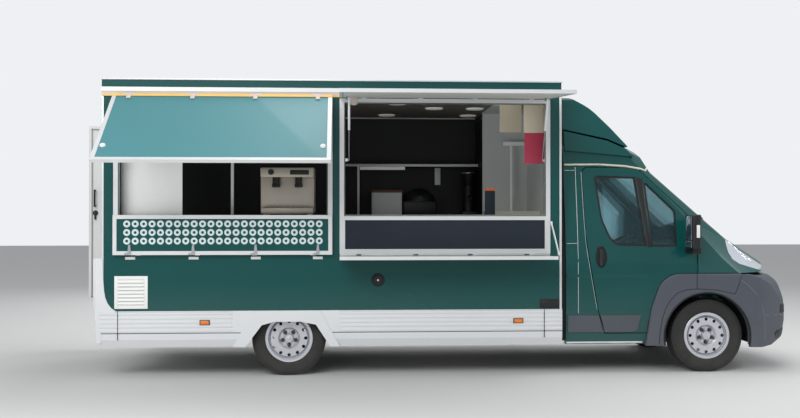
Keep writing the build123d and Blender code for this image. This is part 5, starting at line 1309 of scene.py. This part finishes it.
# Kitchen linings: a black back wall, a pale grey front wall, and a grey-brown ceiling with round
# lamps in it and a pale soffit over the tall cabinet's end.
lining_black = finish("lining_black", tone(24, 24, 26), 0.55, unevenness=0.05)
lining_grey = finish("lining_grey", tone(206, 211, 209), 0.45, unevenness=0.05, size=1.5)
ceiling_brown = finish("ceiling_brown", tone(120, 112, 106), 0.6, unevenness=0.06, size=1.5)


def fit_slabs(*pieces):
    """Plain pieces of the body: name, material, slot (not used), and the slabs that make it, by their
    corners.
    """
    for name, material, slot, *slabs in pieces:
        made = bmesh.new()
        for corner, opposite, *edge in slabs:
            slab(made, corner, opposite, *edge)
        fitted(name, made, "root", material)


fit_slabs(
    ("lining_left", lining_black, "cabinet_grey", ((-3.709, 1.034, 0.700), (0.535, 1.0395, 2.644))),
    ("lining_front", lining_grey, "cabinet_grey", ((0.528, -1.036, 0.700), (0.535, 0.438, 2.644))),
    ("lining_ceiling", ceiling_brown, "cabinet_grey", ((-3.709, -1.036, 2.644), (0.535, 1.0395, 2.652))),
    ("lining_soffit", lining_grey, "cabinet_grey", ((0.020, -1.030, 2.638), (0.527, 0.440, 2.6435))),
    ("ceiling_trim", lining_grey, "cabinet_grey", ((-3.700, 1.022, 2.632), (0.026, 1.0335, 2.6435))),
    ("cabinet_filler", lining_grey, "cabinet_grey", ((0.032, 0.442, 2.5955), (0.527, 0.460, 2.6435))),
)
lamp_glow = plain_material("lamp_glow", {
    "Base Color": (0.9, 0.88, 0.84, 1), "Emission Color": (1.0, 0.95, 0.88, 1), "Emission Strength": 0.1,
})
CEILING_LAMPS = (
    (-0.960, -0.500), (0.100, -0.500), (-0.552, -0.061), (-0.120, -0.050), (-1.018, 0.668), (-0.101, 0.680),
    (-2.300, 0.100), (-3.100, 0.100),
)
LAMP_HEIGHT = 2.637
ceiling_lamps = bmesh.new()
for spot in CEILING_LAMPS:
    bar(ceiling_lamps, (*spot, LAMP_HEIGHT + 0.006), (*spot, LAMP_HEIGHT - 0.006), 0.096, 32, 0.086)
fitted("ceiling_lamps", ceiling_lamps, "root", lamp_glow)

# Serving worktop, back units and tall cabinet: grey laminate and black fronts under brushed
# steel tops, with a wall shelf's edge and post, a strip lamp and a strip of sockets.
laminate = finish("laminate_grey", tone(204, 208, 206), 0.4, unevenness=0.04)
steel_top = finish("steel_top", tone(168, 170, 172), 0.30, metallic=0.85, unevenness=0.08, size=9.0)
paint(laminate, "tall_cabinet", "serving_counter")
paint(lining_black, "back_units")
tall_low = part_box("tall_cabinet")[0]
counter_low, counter_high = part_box("serving_counter")
units_low, units_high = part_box("back_units")
TOP_FOOT = 1.5065
TOP_FACE = 1.5095
fit_slabs(
    (
        "steel_tops", steel_top, "steel_top",
        (
            (counter_low.x + 0.002, counter_low.y + 0.002, TOP_FOOT),
            (counter_high.x - 0.002, counter_high.y - 0.001, TOP_FACE), 0.001,
        ),
        ((units_low.x + 0.002, 0.482, TOP_FOOT), (units_high.x - 0.002, 1.033, TOP_FACE), 0.001),
    ),
    (
        "shelf_edge_and_post", anodised, "white_profile",
        ((-1.480, 0.734, 2.066), (0.020, 0.742, 2.096), 0.002),
        ((-1.350, 0.490, 1.512), (-1.326, 0.514, 2.068), 0.002),
    ),
    ("shelf_strip_lamp", lamp_glow, "white_panel", ((-1.316, 0.750, 2.030), (-0.807, 0.790, 2.066), 0.006)),
    ("socket_strip", pale_plastic, "white_panel", ((-0.445, 1.014, 1.868), (-0.380, 1.034, 2.064), 0.004)),
    # The black panel over the tall cabinet's rear end is painted shade: that face is darkened as if it lay in
    # shadow.
    (
        "cabinet_end_panel", lining_black, "cabinet_grey",
        ((tall_low.x - 0.004, 0.446, 0.700), (tall_low.x + 0.0005, 1.034, 2.590)),
    ),
)

# Rear hatch: a large white board with nothing on it stands on the sill, and a slim pale post
# runs up to the ceiling behind the counter.
board_white = finish("board_white", tone(248, 248, 247), 0.4)
fit_slabs(
    ("menu_board", board_white, "white_panel", ((-3.577, -0.931, 1.512), (-3.030, -0.925, 2.420), 0.001)),
    (
        "menu_board_frame", lining_grey, "cabinet_grey",
        ((-3.605, -0.935, 1.512), (-3.577, -0.921, 2.420), 0.002),
    ),
    ("counter_posts", anodised, "white_profile", ((-2.606, -0.634, 1.509), (-2.578, -0.606, 2.642), 0.002)),
)

# Coffee machine on the serving worktop: a steel case with a control panel and a round gauge,
# two brewing groups with black handles, and a drip tray with slots.
machine_case = finish("machine_case", tone(176, 168, 156), 0.34, metallic=0.55, unevenness=0.08, size=6.0)
COFFEE_X = (-2.297, -1.781)
COFFEE_Y = (-0.960, -0.500)
(rear_x, front_x), (near_y, far_y) = COFFEE_X, COFFEE_Y
machine = bmesh.new()
slab(machine, (rear_x, near_y + 0.10, 1.545), (front_x, far_y, 1.979), 0.012)
slab(machine, (rear_x + 0.004, near_y + 0.010, 1.880), (front_x - 0.004, near_y + 0.12, 1.972), 0.010)
slab(machine, (rear_x + 0.010, near_y, 1.532), (front_x - 0.010, far_y - 0.04, 1.590), 0.008)
for foot_x in (rear_x + 0.05, front_x - 0.05):
    for foot_y in (near_y + 0.06, far_y - 0.06):
        bar(machine, (foot_x, foot_y, 1.509), (foot_x, foot_y, 1.540), 0.020, 20)
fitted("coffee_machine_case", machine, "root", machine_case)
groups = bmesh.new()
group_y = near_y + 0.060
for x in (rear_x + 0.150, front_x - 0.150):
    bar(groups, (x, group_y, 1.820), (x, group_y, 1.880), 0.034, 28)
    bar(groups, (x, group_y, 1.786), (x, group_y, 1.820), 0.038, 28)
    bar(groups, (x, near_y + 0.030, 1.800), (x, near_y - 0.060, 1.788), 0.013, 16, 0.010)
for number in range(9):
    x = rear_x + 0.06 + 0.05 * number
    slab(groups, (x - 0.012, near_y + 0.012, 1.589), (x + 0.012, near_y + 0.088, 1.592))
knob(groups, rear_x + 0.105, 1.930, near_y + 0.012, near_y + 0.003, 0.028, 32)
slab(groups, (front_x - 0.230, near_y + 0.006, 1.905), (front_x - 0.050, near_y + 0.012, 1.950), 0.001)
fitted("coffee_machine_fittings", groups, "root", black_plastic)

# Worktop machines seen through the front hatch: a pale chilled case with a brown lid, a black
# domed oven, and a tall black grinder with a bright rim.
lid_brown = finish("lid_brown", tone(112, 66, 44), 0.55, unevenness=0.12, size=14.0)
fit_slabs(
    ("chilled_case", laminate, "cabinet_grey", ((-1.188, 0.500, 1.510), (-0.856, 0.900, 1.770), 0.010)),
    ("chilled_case_lid", lid_brown, "cabinet_grey", ((-1.196, 0.492, 1.770), (-0.848, 0.908, 1.796), 0.006)),
)
oven = bmesh.new()
OVEN_X = -0.6565
slab(oven, (-0.845, 0.500, 1.510), (-0.468, 0.900, 1.680), 0.030)
dome = bmesh.ops.create_uvsphere(oven, u_segments=40, v_segments=20, radius=1.0)["verts"]
bmesh.ops.scale(oven, vec=(0.186, 0.190, 0.150), verts=dome)
bmesh.ops.translate(oven, verts=dome, vec=(OVEN_X, 0.700, 1.668))
knob(oven, OVEN_X, 1.700, 0.520, 0.500, 0.030, 24)
fitted("domed_oven", oven, "root", black_plastic)
grinder = bmesh.new()
GRINDER = (-0.085, 0.760)
slab(grinder, (GRINDER[0] - 0.085, 0.620, 1.510), (GRINDER[0] + 0.085, 0.860, 1.560), 0.012)
bar(grinder, (*GRINDER, 1.550), (*GRINDER, 1.850), 0.066, 36)
bar(grinder, (GRINDER[0], 0.690, 1.720), (GRINDER[0], 0.610, 1.700), 0.024, 20)
bar(grinder, (*GRINDER, 1.850), (*GRINDER, 1.990), 0.050, 36, 0.084)
fitted("grinder_body", grinder, "root", black_plastic)
funnel = bmesh.new()
bar(funnel, (*GRINDER, 1.990), (*GRINDER, 1.999), 0.086, 36)
fitted("grinder_rim", funnel, "root", steel_top)

# Front end of the hatch: bare paper sheets hung from the ceiling, one below another, a slim
# stand with a cross bar on a pale ledge, and a small blank slate on the worktop.
sheet_cream = finish("sheet_cream", tone(226, 214, 190), 0.7, unevenness=0.05, size=6.0)
sheet_pink = finish("sheet_pink", tone(196, 66, 92), 0.7, unevenness=0.08, size=6.0)
ledge_pale = finish("ledge_pale", tone(206, 210, 188), 0.5)
slate_orange = finish("slate_orange", tone(206, 104, 60), 0.6)
fit_slabs(
    (
        "roll_stand", board_white, "white_panel", ((0.312, 0.290, 1.560), (0.336, 0.314, 2.290), 0.003),
        ((0.236, 0.286, 2.276), (0.467, 0.318, 2.320), 0.004),
    ),
    ("pale_ledge", ledge_pale, "cabinet_grey", ((0.040, -0.300, 1.510), (0.5265, 0.436, 1.560), 0.004)),
    ("sheet_cream_rear", sheet_cream, "white_panel", ((0.070, -0.520, 2.355), (0.292, -0.518, 2.640))),
    ("sheet_cream_front", sheet_cream, "white_panel", ((0.240, -0.930, 2.316), (0.449, -0.928, 2.640))),
    ("sheet_pink", sheet_pink, "white_panel", ((0.247, -0.928, 2.018), (0.445, -0.926, 2.322))),
    ("small_slate", slate, "slate", ((-0.105, -0.704, 1.509), (-0.005, -0.690, 1.760), 0.002)),
    (
        "small_slate_top", slate_orange, "cabinet_grey",
        ((-0.105, -0.706, 1.760), (-0.005, -0.688, 1.787), 0.002),
    ),
)
